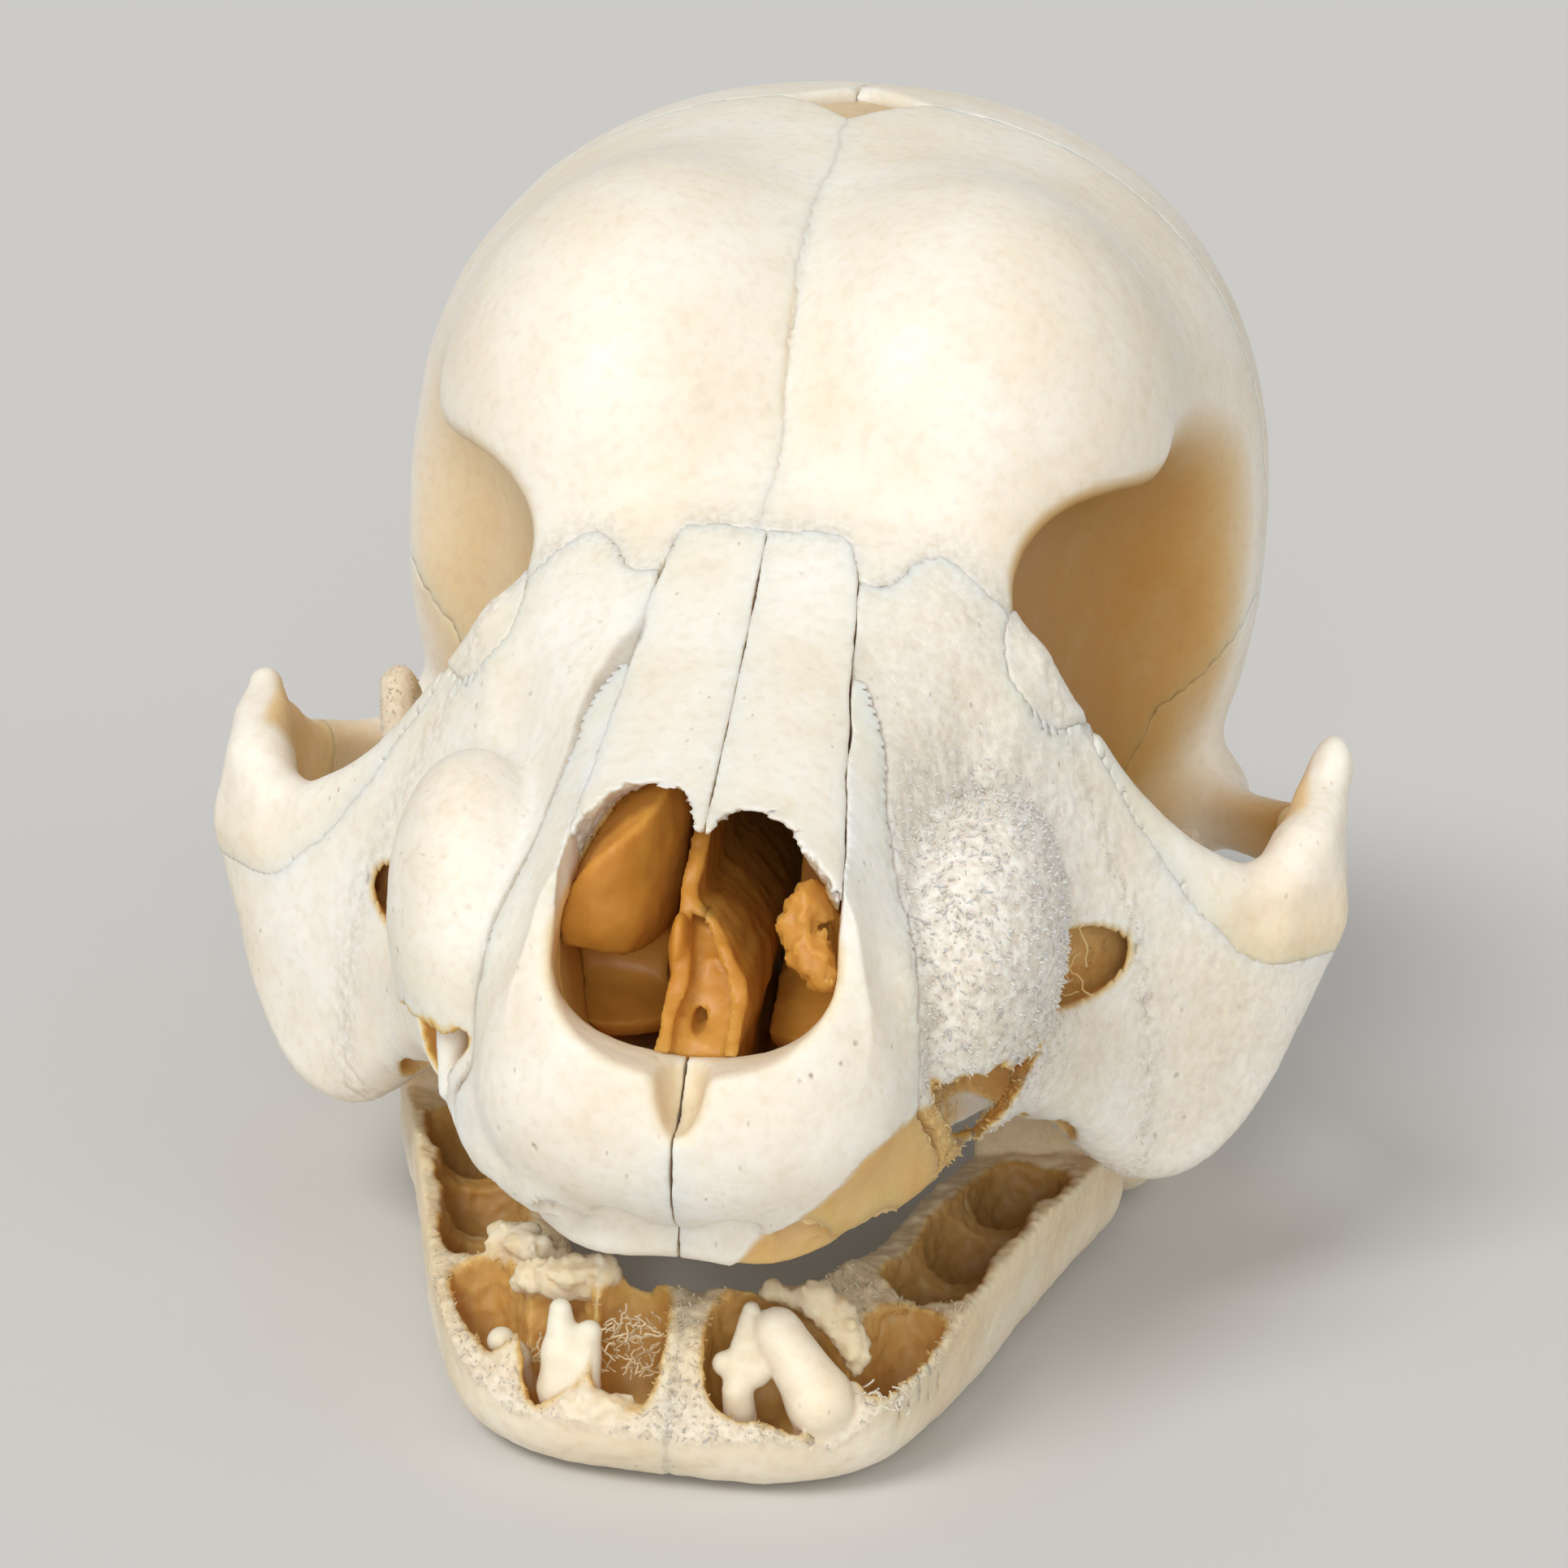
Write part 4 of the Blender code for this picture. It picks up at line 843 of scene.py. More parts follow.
def turbinate(b, side):
    # The scroll in one side of the nose: a leaf with a free edge on the right, and a crumbled curl on
    # the left. The floor of the nose rises to it.
    if side < 0:
        leaf = b.rounded((3.3, 9.6, 9.6), (2.5, 5.6, 3.5), 3.0, (14, 0, 4))
        below = b.ellipsoid((3.4, 5.6, 5.2), (3.0, 4.6, 1.5), (12, -16, 0))
        rear = b.rounded((3.0, 13.2, 7.0), (4.6, 4.8, 7.0), 2.6)
        scroll = union(carve(leaf + b.noise(1.6, 0.08, seed=42), below), rear, blend=0.8)
        clear = b.along(b.z, [(5, 1.5), (7.2, 1.15), (9, 0.95), (12, 0.9)]) - b.side
        beside = 1.05
    else:
        ridge = b.ellipsoid((3.9, 8.4, 8.0), (0.9, 4.6, 2.2))
        path = [(3.7, 4.6, 8.7), (2.9, 3.5, 8.9), (2.55, 3.2, 8.1), (3.1, 3.0, 7.4), (3.5, 2.9, 7.0)]
        curl = b.rod(path, [0.7, 0.42, 0.36, 0.42, 0.36])
        curl = curl + b.noise(0.36, 0.36, seed=14)
        rear = b.rounded((3.0, 14.4, 7.0), (4.6, 4.8, 7.0), 2.6)
        scroll = union(ridge, curl, rear, blend=0.4)
        clear = 2.0 - b.side
        beside = 1.6
    slope = within(b.ellipsoid((3.0, 13.0, 1.6), (4.2, 8.4, 3.8)), beside - b.side)
    scroll = union(within(scroll, clear), slope, blend=0.9)
    return within(scroll, half(b, side), noseHollow(b) + b.suture)


def tympanic(b, side):
    # The ring that held the eardrum
    ring = b.ring((12.3, 40.0, 0.9), (0, 24, -14), 2.5, 1.1)
    return within(carve(ring, skull(b, "base", "ear") - b.suture), half(b, side))


# The lower jaw


def jawForm(b):
    # The lower jaw without its sockets: a thick front, and a thin plate that rises to the joint
    top = [(0, 4.1, -4.4), (2.7, 4.3, -4.4), (4.5, 5.3, -4.4), (5.5, 7.6, -4.3),
           (6.5, 11.0, -4.2), (7.5, 15.0, -4.0), (8.6, 19.0, -3.6), (9.6, 22.5, -3.0)]
    foot = [(0, 4.3, -5.9), (2.6, 4.5, -5.9), (4.3, 5.5, -5.9), (5.3, 7.8, -5.9),
            (6.3, 11.0, -5.9), (7.3, 15.0, -5.8), (8.5, 19.0, -5.6), (9.6, 22.5, -5.4)]
    body = b.sheet("jaw_guide", [top, foot], 4.1)
    low = [(9.8, 20.0, -5.2), (10.7, 24.0, -5.8), (11.4, 28.0, -6.2), (11.8, 31.0, -6.0)]
    middle = [(10.4, 21.4, -1.8), (11.5, 24.6, -1.4), (12.1, 28.0, -1.2), (12.4, 31.0, -0.8)]
    high = [(12.1, 23.6, 4.0), (12.4, 25.2, 4.4), (12.6, 26.8, 3.8), (12.5, 28.6, 2.4)]
    tip = [(12.9, 25.4, 7.9), (13.0, 25.9, 8.2), (13.0, 26.4, 7.9), (12.9, 27.0, 7.2)]
    ramus = b.sheet("ramus_guide", [low, middle, high, tip], 1.15)
    ramus = within(ramus, b.z - b.bySide(9.5, 5.2, 9, 15), blend=0.8)
    joint = b.rod([(12.4, 31.0, -0.9), (12.4, 32.2, 0.1)], [0.8, 1.0])
    condyle = b.bar((11.0, 32.4, 0.3), (13.8, 32.2, 0.6), 1.1, 1.05)
    angle = b.rod([(11.4, 28.4, -6.2), (11.9, 31.6, -6.9), (11.9, 33.8, -6.7)], [1.5, 1.25, 0.8])
    return union(body, ramus, joint, condyle, angle, blend=1.4)


def aboveRim(b):
    # Negative above the open rim of the lower jaw, which is low outside at the front and higher inside.
    # Fall and rise are how steep it is outside and inside the path along its middle.
    path = b.along(b.y, [(1.5, 0.6), (2.6, 1.9), (4.4, 3.4), (6.0, 4.9), (8.0, 5.7), (11.0, 6.6),
                         (15.0, 7.5), (19.0, 8.6), (24.0, 10.0)])
    outward = within(b.side - path, 4.2 - b.y, blend=1.5)
    fall = b.along(b.y, [(1.5, -1.2), (2.8, -1.1), (3.4, -0.75), (4.2, -0.45), (6.0, -0.2), (11.0, 0.1),
                         (24.0, 0.1)])
    rise = b.along(b.y, [(1.5, 0.6), (8.0, 0.45), (12.0, -0.1), (24.0, -0.1)])
    rim = b.above(outward) * fall + b.above(-outward) * rise - 3.8
    rim = rim + b.noise(1.6, 0.3, seed=15) + b.noise(0.4, 0.14, seed=43)
    return within((rim - b.z) * 0.85, b.y - 20.5)


def lowerSockets(b):
    # The open sockets of the lower jaw. Those at the front differ from side to side
    front = [
        ((2.75, 4.15, -3.7), (2.05, 1.65, 2.9), 0),
        ((5.75, 5.8, -3.7), (0.92, 1.85, 2.7), -24),
        ((-1.38, 4.15, -3.7), (0.98, 1.65, 2.9), 0),
        ((-3.45, 4.4, -3.7), (1.0, 1.65, 2.9), 12),
        ((-5.55, 5.9, -3.9), (0.92, 1.9, 2.8), 28),
    ]
    rear = [
        ((6.5, 9.9, -3.2), (1.35, 1.8, 3.0)),
        ((7.4, 13.9, -3.1), (1.40, 1.75, 3.0)),
        ((8.5, 17.7, -2.7), (1.40, 1.75, 3.0)),
    ]
    near = [b.rounded(middle, radii, 3, (0, 0, turn), both=False) for middle, radii, turn in front]
    far = [b.rounded(middle, radii, 3, (0, 0, -15)) for middle, radii in rear]
    trough = b.rod([(6.3, 9.2, -3.8), (7.4, 14.0, -3.7), (8.5, 18.4, -3.3)], [1.2, 1.3, 1.25])
    return union(*near, *far, trough)


def toothGerms(b):
    # The caps of teeth that still lie in the front sockets, sunk into the bone at their roots
    germs = [
        # the left canine, and the incisor with its three lobes
        [([(4.2, 4.4, -6.7), (3.95, 3.65, -5.2), (2.65, 4.15, -3.55)], [0.8, 0.9, 0.68])],
        [([(1.85, 4.5, -3.15), (1.8, 4.1, -4.0)], [0.24, 0.4]),
         ([(1.3, 3.85, -4.5), (2.2, 3.8, -4.6)], [0.36, 0.42]),
         ([(1.7, 3.6, -5.1), (1.9, 3.9, -6.7)], [0.42, 0.5])],
        # the right canine is a flat slab with a fork, and a small round cap lies beside it
        [([(-3.35, 4.3, -3.6), (-3.2, 3.9, -4.6), (-3.2, 3.7, -5.6), (-3.1, 3.9, -6.7)],
          [0.3, 0.5, 0.55, 0.55]),
         ([(-2.5, 4.1, -4.1), (-2.65, 3.8, -4.8), (-2.65, 3.65, -5.6), (-2.7, 3.9, -6.7)],
          [0.35, 0.5, 0.55, 0.55])],
        [([(-5.04, 4.75, -4.9), (-4.5, 4.6, -5.25), (-4.5, 5.3, -6.7)], [0.4, 0.3, 0.4])],
    ]
    caps = [union(*(b.rod(*part, 0.4, False) for part in parts), blend=0.4) for parts in germs]
    return union(*caps) + b.noise(0.8, 0.05, seed=54)


def jawScraps(b):
    # Loose bone that still clings to the rims of the front sockets
    crumbs = b.noise(0.4, 0.3, seed=55) + b.noise(1.0, 0.2, seed=56)
    front = b.ellipsoid((-2.0, 2.85, -5.75), (1.1, 0.55, 0.5), both=False)
    behind = b.rod([(2.3, 5.4, -2.9), (3.6, 5.5, -3.1), (4.5, 5.3, -3.8), (4.8, 5.0, -4.5)],
                   [0.3, 0.42, 0.42, 0.3], both=False)
    inner = b.rod([(-4.6, 6.0, -3.5), (-3.4, 5.6, -3.2), (-2.4, 5.5, -2.8)], [0.45, 0.5, 0.4], both=False)
    far = b.rod([(-5.6, 8.2, -3.3), (-4.5, 7.0, -3.0)], [0.5, 0.4], both=False)
    return union(front, behind, inner, far) + crumbs


def mandible(b, side):
    body = carve(jawForm(b), aboveRim(b), blend=0.2)
    body = carve(body, lowerSockets(b), blend=0.15)
    body = union(body, jawScraps(b), blend=0.3)
    body = union(body, toothGerms(b), blend=0.1)
    body = carve(body, b.ellipsoid((0.25, 5.4, -3.0), (0.32, 1.2, 0.35), both=False))
    return bone(within(body, jawSizes["floorZ"] - b.z), half(b, side))


# What each bone looks like: (relief in mm, amber, grain, pores). Amber is a warm tone in hollows and thin bone:
# partly the bone's own warmer colour, partly painted shade and a painted glow of light shining through thin bone.
# Grain is the loose, bristly surface of bone that is still growing. Pores darken the colour: dark pores and pits,
# which are painted shade in small holes, and painted shade in cracks, sockets, the orbit and under the upper jaw.

tones = {
    # how strong each tone is, from 0 to 1. Of a pair, the first is the skull's right. The amber tones are partly
    # painted shade and glow, and the dark ones are painted shade.
    "orbitGlowAndShade": (0.42, 1.0),
    "orbitShade": (0.18, 0.7),
    "brainAmber": 0.8,
    "upperSockets": 0.85,
    "belowOrbitAmber": 0.8,
    "belowOrbitShade": 0.44,
    "underLipGlowAndShade": 0.7,
    "underLipShade": 0.25,
    "incisorSutureShade": (0.8, 0.3),
    "nasalCrackShade": 0.6,
    "groove": 0.4,
    "jawSockets": 0.8,
    "roughAtForehead": 0.7,
    "cheekBarInsideShade": 0.5,
    "noseLeaves": 0.5,
    "crownSkin": 0.25,
}


def inOrbit(b, name):
    # The tone inside the orbit, crisp in front and soft behind: painted shade and a painted glow. Both are
    # stronger on the skull's left, away from the key light.
    return b.step(orbit(b) - 0.1, orbitEdge(b) * 0.4) * b.bySide(*tones[name], 2, 15)


def vaultLooks(b):
    # The line down the forehead is plain only over its lower part
    plain = b.along(b.z, [(0, 0.1), (18.6, 0.15), (19.8, 1.0), (22.2, 1.0), (23.4, 0.1), (40, 0.1)])
    crease = b.step(abs(crownLine(b)), 0.12) * b.above(b.noise(3.0, 0.6, seed=53) + plain)
    rough = b.step(abs(face(b)), 0.9) * tones["roughAtForehead"]
    relief = b.noise(2.6, 0.05, seed=31) + b.noise(0.7, 0.015, seed=32) - crease * 0.05
    relief = relief + b.noise(0.36, 0.09, seed=34) * rough
    # Inside the braincase and the nose: painted shade and a painted glow of light through the thin bone, as well
    # as its warmer tone
    inBrain = b.step(brainHollow(b), 0.5) * tones["brainAmber"]
    inNose = b.step(noseHollow(b) - 0.05, 0.2)
    amber = within(inBrain, inOrbit(b, "orbitGlowAndShade"), inNose, crease * 0.25)
    # The last amount darkens the orbit with painted shade
    return relief, amber, within(rough, b.level(0.08)), inOrbit(b, "orbitShade")


def facePits(b):
    # Pits in groups
    grouped = b.above(b.noise(2.6, 2.2, seed=46) + 0.1)
    pits = b.above(within(b.dots(0.9, 0.1, seed=44), b.dots(0.5, 0.06, seed=45)))
    return b.maths("MINIMUM", pits * grouped, 0.1)


def faceLooks(b):
    # Inside the nose: painted glow and painted shade, weak at the opening and full further in
    inNose = b.step(noseHollow(b) - 0.04, 0.2)
    inNose = inNose * b.along(b.y, [(0.5, 0.1), (2.0, 0.3), (4.5, 0.85), (7.0, 1.0)])
    # The groove, the sockets and the small holes: painted shade and glow in these hollows. The holes are also
    # darkened with painted shade
    inGroove = b.step(groove(b) + 0.15, 0.5) * tones["groove"]
    sockets = union(within(upperSockets(b), 6 - b.y), canineSocket(b) - 0.05, brokenBulge(b))
    inSocket = b.step(sockets, 0.15) * (1 - b.step(upperCanine(b), 0.12)) * tones["upperSockets"]
    inHole = b.step(holes(b) - 0.05, 0.2)
    # The underside below the edge of the upper jaw faces down: it gets painted shade and glow, and sinks a little
    # in the relief
    lowEdge = b.along(b.x, [(-8, -3), (0.5, -2.0), (2.2, -0.3), (2.92, 0.37), (4.27, 1.79), (5.45, 2.95),
                            (8, 3.5)])
    beneath = b.step(b.z - lowEdge + 0.15 + b.noise(0.5, 0.15, seed=63), 0.3) * b.step(b.y - 7.5, 2)
    behindIncisors = b.step(-incisorBone(b), 1.0)
    rough = b.step(abs(face(b)), 0.9) * tones["roughAtForehead"]
    nearBulge = b.step(canineBulge(b, -0.5), 2.5) * 0.6 + 0.4
    leftSide = b.along(b.x, [(-18, 0.1), (2.5, 0.15), (4.5, 0.9), (18, 0.7)])
    grain = within(leftSide * behindIncisors * nearBulge, rough, b.level(0.1))
    pits = facePits(b)
    onBulge = b.step(canineBulge(b, -0.4), 0.3) * b.step(-incisorBone(b), 0.3)
    fine = b.above(b.dots(0.34, 0.07, seed=48)) * onBulge
    relief = b.noise(1.6, 0.05, seed=33) + b.noise(0.36, 0.13, seed=34) * grain
    relief = relief - pits * 1.6 - fine * 1.2 - beneath * 0.12
    # Painted shade in the crack of the suture between the premaxilla and the upper jaw
    sutureShade = b.step(abs(incisorBone(b)), 0.17) * b.bySide(*tones["incisorSutureShade"], 2, 9)
    sutureShade = sutureShade * b.step(2.5 - b.z, 0.5) * b.step(-nasalStrip(b), 0.1)
    # Painted shade in the fine crack along the nasal bone, where its suture is closed
    crack = b.step(abs(nasalStrip(b)), 0.1) * b.step(abs(b.y - 13.6), 1.6) * tones["nasalCrackShade"]
    # Pits and fine dots are sunk into the relief and painted dark as well: painted shade in them
    dark = b.maths("MINIMUM", pits * 14 + fine * 6, 1)
    dark = within(dark, inHole * tones["belowOrbitShade"], beneath * tones["underLipShade"], sutureShade, crack)
    amber = within(inNose, inGroove, inSocket, inHole * tones["belowOrbitAmber"],
                   beneath * tones["underLipGlowAndShade"])
    return relief, amber, grain, dark


def cheekLooks(b):
    # Smooth bone, warmer towards its lower edge and on its inner face. The lower edge's warmth, stronger on the
    # skull's left away from the key light, is partly painted shade; that of the inner face is painted shade.
    relief = b.noise(1.6, 0.05, seed=33) + b.noise(0.5, 0.015, seed=64)
    low = b.along(b.z, [(3.0, 1.0), (5.0, 0.7), (7.0, 0.2), (12.0, 0.1)]) * b.bySide(0.1, 0.34, 4, 18)
    inside = b.step(b.side - 16.1, 0.3) * b.step(21.6 - b.y, 0.8) * tones["cheekBarInsideShade"]
    return relief, within(low, inside), b.level(0.06), b.level(0)


def jawLooks(b):
    # The sockets get painted shade and glow
    inSocket = b.step(lowerSockets(b) - 0.02, 0.16)
    bare = (1 - b.step(toothGerms(b), 0.2)) * (1 - b.step(jawScraps(b), 0.2) * 0.75)
    onRim = b.step(abs(aboveRim(b)) - 0.1, 0.3) * b.along(b.y, [(0, 0.9), (7, 0.9), (10, 0.3), (36, 0.3)])
    relief = b.noise(1.4, 0.06, seed=35) + b.noise(0.4, 0.03, seed=36) + b.noise(0.5, 0.16, seed=49) * inSocket
    grain = b.along(b.z, [(-9, 0.0), (-6.5, 0.05), (-4.5, 0.3), (-3.0, 0.35)])
    tan = b.along(b.z, [(-9, 0.0), (-6.0, 0.04), (-4.4, 0.22), (-3.0, 0.26), (2.0, 0.1), (9, 0.1)])
    # Painted shade in the sockets, deeper further back and stronger on the skull's left, away from the key light
    dark = b.along(b.y, [(0, 0.34), (7, 0.38), (9.5, 0.6), (20, 0.75)])
    dark = dark * b.along(b.x, [(-10, 0.75), (-2, 0.85), (2, 1), (10, 1)])
    seam = b.step(abs(b.x), 0.12) * 0.06
    amber = within(inSocket * tones["jawSockets"], tan)
    return relief * bare - seam, amber * bare, within(grain, onRim) * bare, inSocket * dark * bare


# The thin leaves of the nose are amber all over: their warm tone is partly painted glow of light through thin bone
# and painted shade deep in the nose
def thinLooks(b):
    return b.noise(0.6, 0.05, seed=37), b.level(tones["noseLeaves"]), b.level(0.05), b.level(0)


def skinLooks(b):
    return b.noise(0.9, 0.06, seed=65), b.level(tones["crownSkin"]), b.level(0.1), b.level(0)


both = (("Left", "_left", 1), ("Right", "_right", -1))
middle = (("", "", 0),)
bones = {
    # name: (CAD node, form, looks, sides, slot, cell, suture gap, low corner, high corner), in mm.
    # The corners are those of the skull's left bone. A negative gap closes a suture.
    "frontal": (
        "frontal", frontal, vaultLooks, both, "bone_vault", 0.38, -0.3,
        (-1.0, 12, -4), (15.5, 35, 28.5)),
    "parietal": (
        "parietal", parietal, vaultLooks, both, "bone_vault", 0.4, 0.03,
        (-1.0, 32, 2), (16, 49, 29)),
    "temporal": (
        "temporal", temporal, vaultLooks, both, "bone_vault", 0.34, 0.08,
        (4, 27, -4), (18.5, 47, 14)),
    "occipitalScale": (
        "occipital_scale", occipitalScale, vaultLooks, middle, "bone_vault", 0.46, 0.08,
        (-15, 43, 9), (15, 57, 27)),
    "occipitalSide": (
        "occipital_side", occipitalSide, vaultLooks, both, "bone_vault", 0.34, 0.08,
        (-0.5, 43, -4), (15, 57, 12)),
    "occipitalBase": (
        "occipital_base", occipitalBase, vaultLooks, middle, "bone_vault", 0.34, 0.12,
        (-8, 40, -3), (8, 57.5, 5)),
    "sphenoidBone": (
        "sphenoid", sphenoid, vaultLooks, middle, "bone_vault", 0.36, 0.12,
        (-14, 21, -5), (14, 43, 9)),
    "palatine": (
        "palatine", palatine, faceLooks, both, "bone_face", 0.3, 0.08,
        (-0.5, 14, -3), (10, 24, 8.5)),
    "nasal": (
        "nasal", nasal, faceLooks, both, "bone_face", 0.2, 0.03,
        (-0.5, 2, 7), (4.5, 16, 18)),
    "premaxilla": (
        "premaxilla", premaxilla, faceLooks, both, "bone_face", 0.18, 0.05,
        (-0.5, -1, -2.5), (8, 10, 14)),
    "maxilla": (
        "maxilla", maxilla, faceLooks, both, "bone_face", 0.25, 0.05,
        (-0.5, 3, -4.5), (18.5, 24, 18)),
    "lacrimal": (
        "lacrimal", lacrimal, faceLooks, both, "bone_face", 0.2, -0.1,
        (6, 12, 9), (11, 20, 17)),
    "zygomatic": (
        "zygomatic", zygomatic, cheekLooks, both, "bone_face", 0.22, -0.25,
        (9, 14, 2), (19, 31, 12)),
    "mandible": (
        "mandible", mandible, jawLooks, both, "bone_jaw", 0.23, -0.25,
        (-0.5, 0.5, -9), (16, 36, 10)),
    "tympanic": (
        "tympanic", tympanic, faceLooks, both, "bone_face", 0.24, 0.2,
        (9, 35, -4), (16, 45, 6)),
    "turbinate": (
        "turbinate", turbinate, thinLooks, both, "bone_thin", 0.16, 0.0,
        (0.5, 1, 4), (5, 14, 13)),
    "vomerBone": (
        "vomer", vomer, thinLooks, middle, "bone_thin", 0.16, 0.0,
        (-2.5, 0, 0), (2.5, 21, 15)),
    "fontanelleSkin": (
        "fontanelle_skin", fontanelleSkin, skinLooks, middle, "membrane", 0.2, 0.02,
        (-3, 30, 25), (3, 37.5, 28.5)),
}


# Materials

boneFinishes = {
    # slot: its ivory and the warmer patches in it, how rough it is, and its share of pores
    "bone_vault": {"pale": (0.86, 0.80, 0.71, 1), "warm": (0.82, 0.73, 0.59, 1), "roughness": 0.46, "pores": 0.08},
    "bone_face": {"pale": (0.86, 0.82, 0.75, 1), "warm": (0.80, 0.72, 0.59, 1), "roughness": 0.55, "pores": 0.5},
    "bone_jaw": {"pale": (0.84, 0.77, 0.64, 1), "warm": (0.76, 0.64, 0.46, 1), "roughness": 0.52, "pores": 0.35},
    # The orange of the thin bone in the nose is partly its own colour, partly a painted glow of light through it
    "bone_thin": {"pale": (0.62, 0.37, 0.10, 1), "warm": (0.55, 0.30, 0.06, 1), "roughness": 0.42, "pores": 0.2},
    "membrane": {"pale": (0.76, 0.63, 0.45, 1), "warm": (0.62, 0.46, 0.28, 1), "roughness": 0.42, "pores": 0.1},
}
boneSurface = {
    # how fine each pattern is: the higher, the finer
    "patches": 260,
    "speckles": 2600,
    "pores": 1500,
    "poreGroups": 420,
    "bristles": 3600,
    "unevenness": 500,
    # The pore and pit colours are painted shade
    "poreColour": (0.30, 0.22, 0.13, 1),
    "paintedShadeColour": (0.26, 0.19, 0.12, 1),
    "bristleColour": (0.88, 0.85, 0.80, 1),
    # from bare bone to the warmest hollow, each (amber, tone). The warm tones are partly painted shade and painted
    # glow
    "hollows": (
        (0.0, (1, 1, 1, 1)), (0.35, (0.97, 0.84, 0.62, 1)), (0.7, (0.97, 0.68, 0.30, 1)),
        (1.0, (0.96, 0.56, 0.14, 1))),
    "shine": 0.35,
    # how much light the bone lets in, how far each colour of it spreads, and that reach in metres
    "glow": (0.4, (1.0, 0.55, 0.28), 0.0015),
    # how strong the fine bumps are, and their height in metres
    "bump": (0.5, 0.00008),
}


def boneMaterial(name, finish):
    look = boneSurface
    black, white = (0, 0, 0, 1), (1, 1, 1, 1)
    material = bpy.data.materials.new(name)
    material.use_nodes = True
    tree = material.node_tree
    place = addNode(tree, "ShaderNodeTexCoord").outputs["Object"]

    def attribute(label):
        return addNode(tree, "ShaderNodeAttribute", attribute_name=label).outputs["Fac"]

    def noise(scale, detail, roughness=0.55):
        return addNode(tree, "ShaderNodeTexNoise", ("Vector", place), ("Scale", scale), ("Detail", detail),
                       ("Roughness", roughness)).outputs["Fac"]

    def calculate(operation, *values):
        return addNode(tree, "ShaderNodeMath", *enumerate(values), operation=operation).outputs[0]

    def ramp(value, *stops):
        node = addNode(tree, "ShaderNodeValToRGB", ("Fac", value))
        elements = node.color_ramp.elements
        while len(elements) < len(stops):
            elements.new(0.5)
        for element, (position, colour) in zip(elements, stops):
            element.position = position
            element.color = colour
        return node.outputs["Color"]

    def mix(factor, first, second, blend="MIX"):
        # Sockets 0, 6 and 7 are the factor and the two colours, and 2 is the colour that comes out
        return addNode(tree, "ShaderNodeMix", (0, factor), (6, first), (7, second), data_type="RGBA",
                       blend_type=blend).outputs[2]

    amber, grain, paintedShade = attribute("amber"), attribute("grain"), attribute("pore")
    patches = ramp(noise(look["patches"], 3), (0.36, black), (0.66, white))
    body = mix(patches, finish["pale"], finish["warm"])
    fine = noise(look["speckles"], 2)
    speckles = ramp(fine, (0.30, (0.90, 0.87, 0.81, 1)), (0.52, white))
    body = mix(0.55, body, speckles, "MULTIPLY")

    # Pores are dark dots, in groups. Their darkness is painted shade in holes too small to model
    drawn = addNode(tree, "ShaderNodeVectorMath", (0, place), (1, (1.5, 1.0, 0.75)), operation="MULTIPLY")
    dots = addNode(tree, "ShaderNodeTexVoronoi", ("Vector", drawn.outputs[0]), ("Scale", look["pores"]))
    dot = ramp(dots.outputs["Distance"], (0.06, white), (0.13, black))
    groups = ramp(noise(look["poreGroups"], 1), (0.50, black), (0.66, white))
    pore = calculate("MULTIPLY", calculate("MULTIPLY", dot, groups), finish["pores"])
    body = mix(pore, body, look["poreColour"])
    # Painted shade that the bones carry: in the orbit, holes, sockets, cracks, pits and under the upper jaw
    body = mix(paintedShade, body, look["paintedShadeColour"])

    # Bristles of growing bone: pale crests over darker gaps. The darker gaps are painted shade between the crests
    crests = noise(look["bristles"], 3, 0.7)
    bristle = ramp(crests, (0.36, (0.72, 0.68, 0.62, 1)), (0.60, (0.94, 0.93, 0.91, 1)))
    bristled = mix(1.0, mix(0.45, body, look["bristleColour"]), bristle, "MULTIPLY")
    body = mix(grain, body, bristled)

    # The warm tone of the hollows, a little uneven. It is partly the bone's own warmer colour, partly painted
    # shade and a painted glow of light through thin bone
    uneven = calculate("MULTIPLY_ADD", noise(look["unevenness"], 2), 0.5, -0.25)
    depth = calculate("ADD", amber, calculate("MULTIPLY", uneven, amber))
    body = mix(1.0, body, ramp(depth, *look["hollows"]), "MULTIPLY")

    height = calculate("MULTIPLY_ADD", pore, -1.0, calculate("MULTIPLY", fine, 0.35))
    height = calculate("MULTIPLY_ADD", calculate("MULTIPLY", crests, grain), 1.2, height)
    strength, distance = look["bump"]
    bump = addNode(tree, "ShaderNodeBump", ("Height", height), ("Strength", strength), ("Distance", distance))
    share, spread, reach = look["glow"]
    shader = tree.nodes["Principled BSDF"]
    tree.links.new(body, shader.inputs["Base Color"])
    tree.links.new(bump.outputs["Normal"], shader.inputs["Normal"])
    shader.inputs["Roughness"].default_value = finish["roughness"]
    shader.inputs["Specular IOR Level"].default_value = look["shine"]
    shader.inputs["Subsurface Weight"].default_value = share
    shader.inputs["Subsurface Radius"].default_value = spread
    shader.inputs["Subsurface Scale"].default_value = reach
    return material


# Making the pieces


def inRow(corner):
    # A point of the head, in millimetres, as it stands on the floor, in metres
    return tuple((value - start) * mm for value, start in zip(corner, skullOrigin))


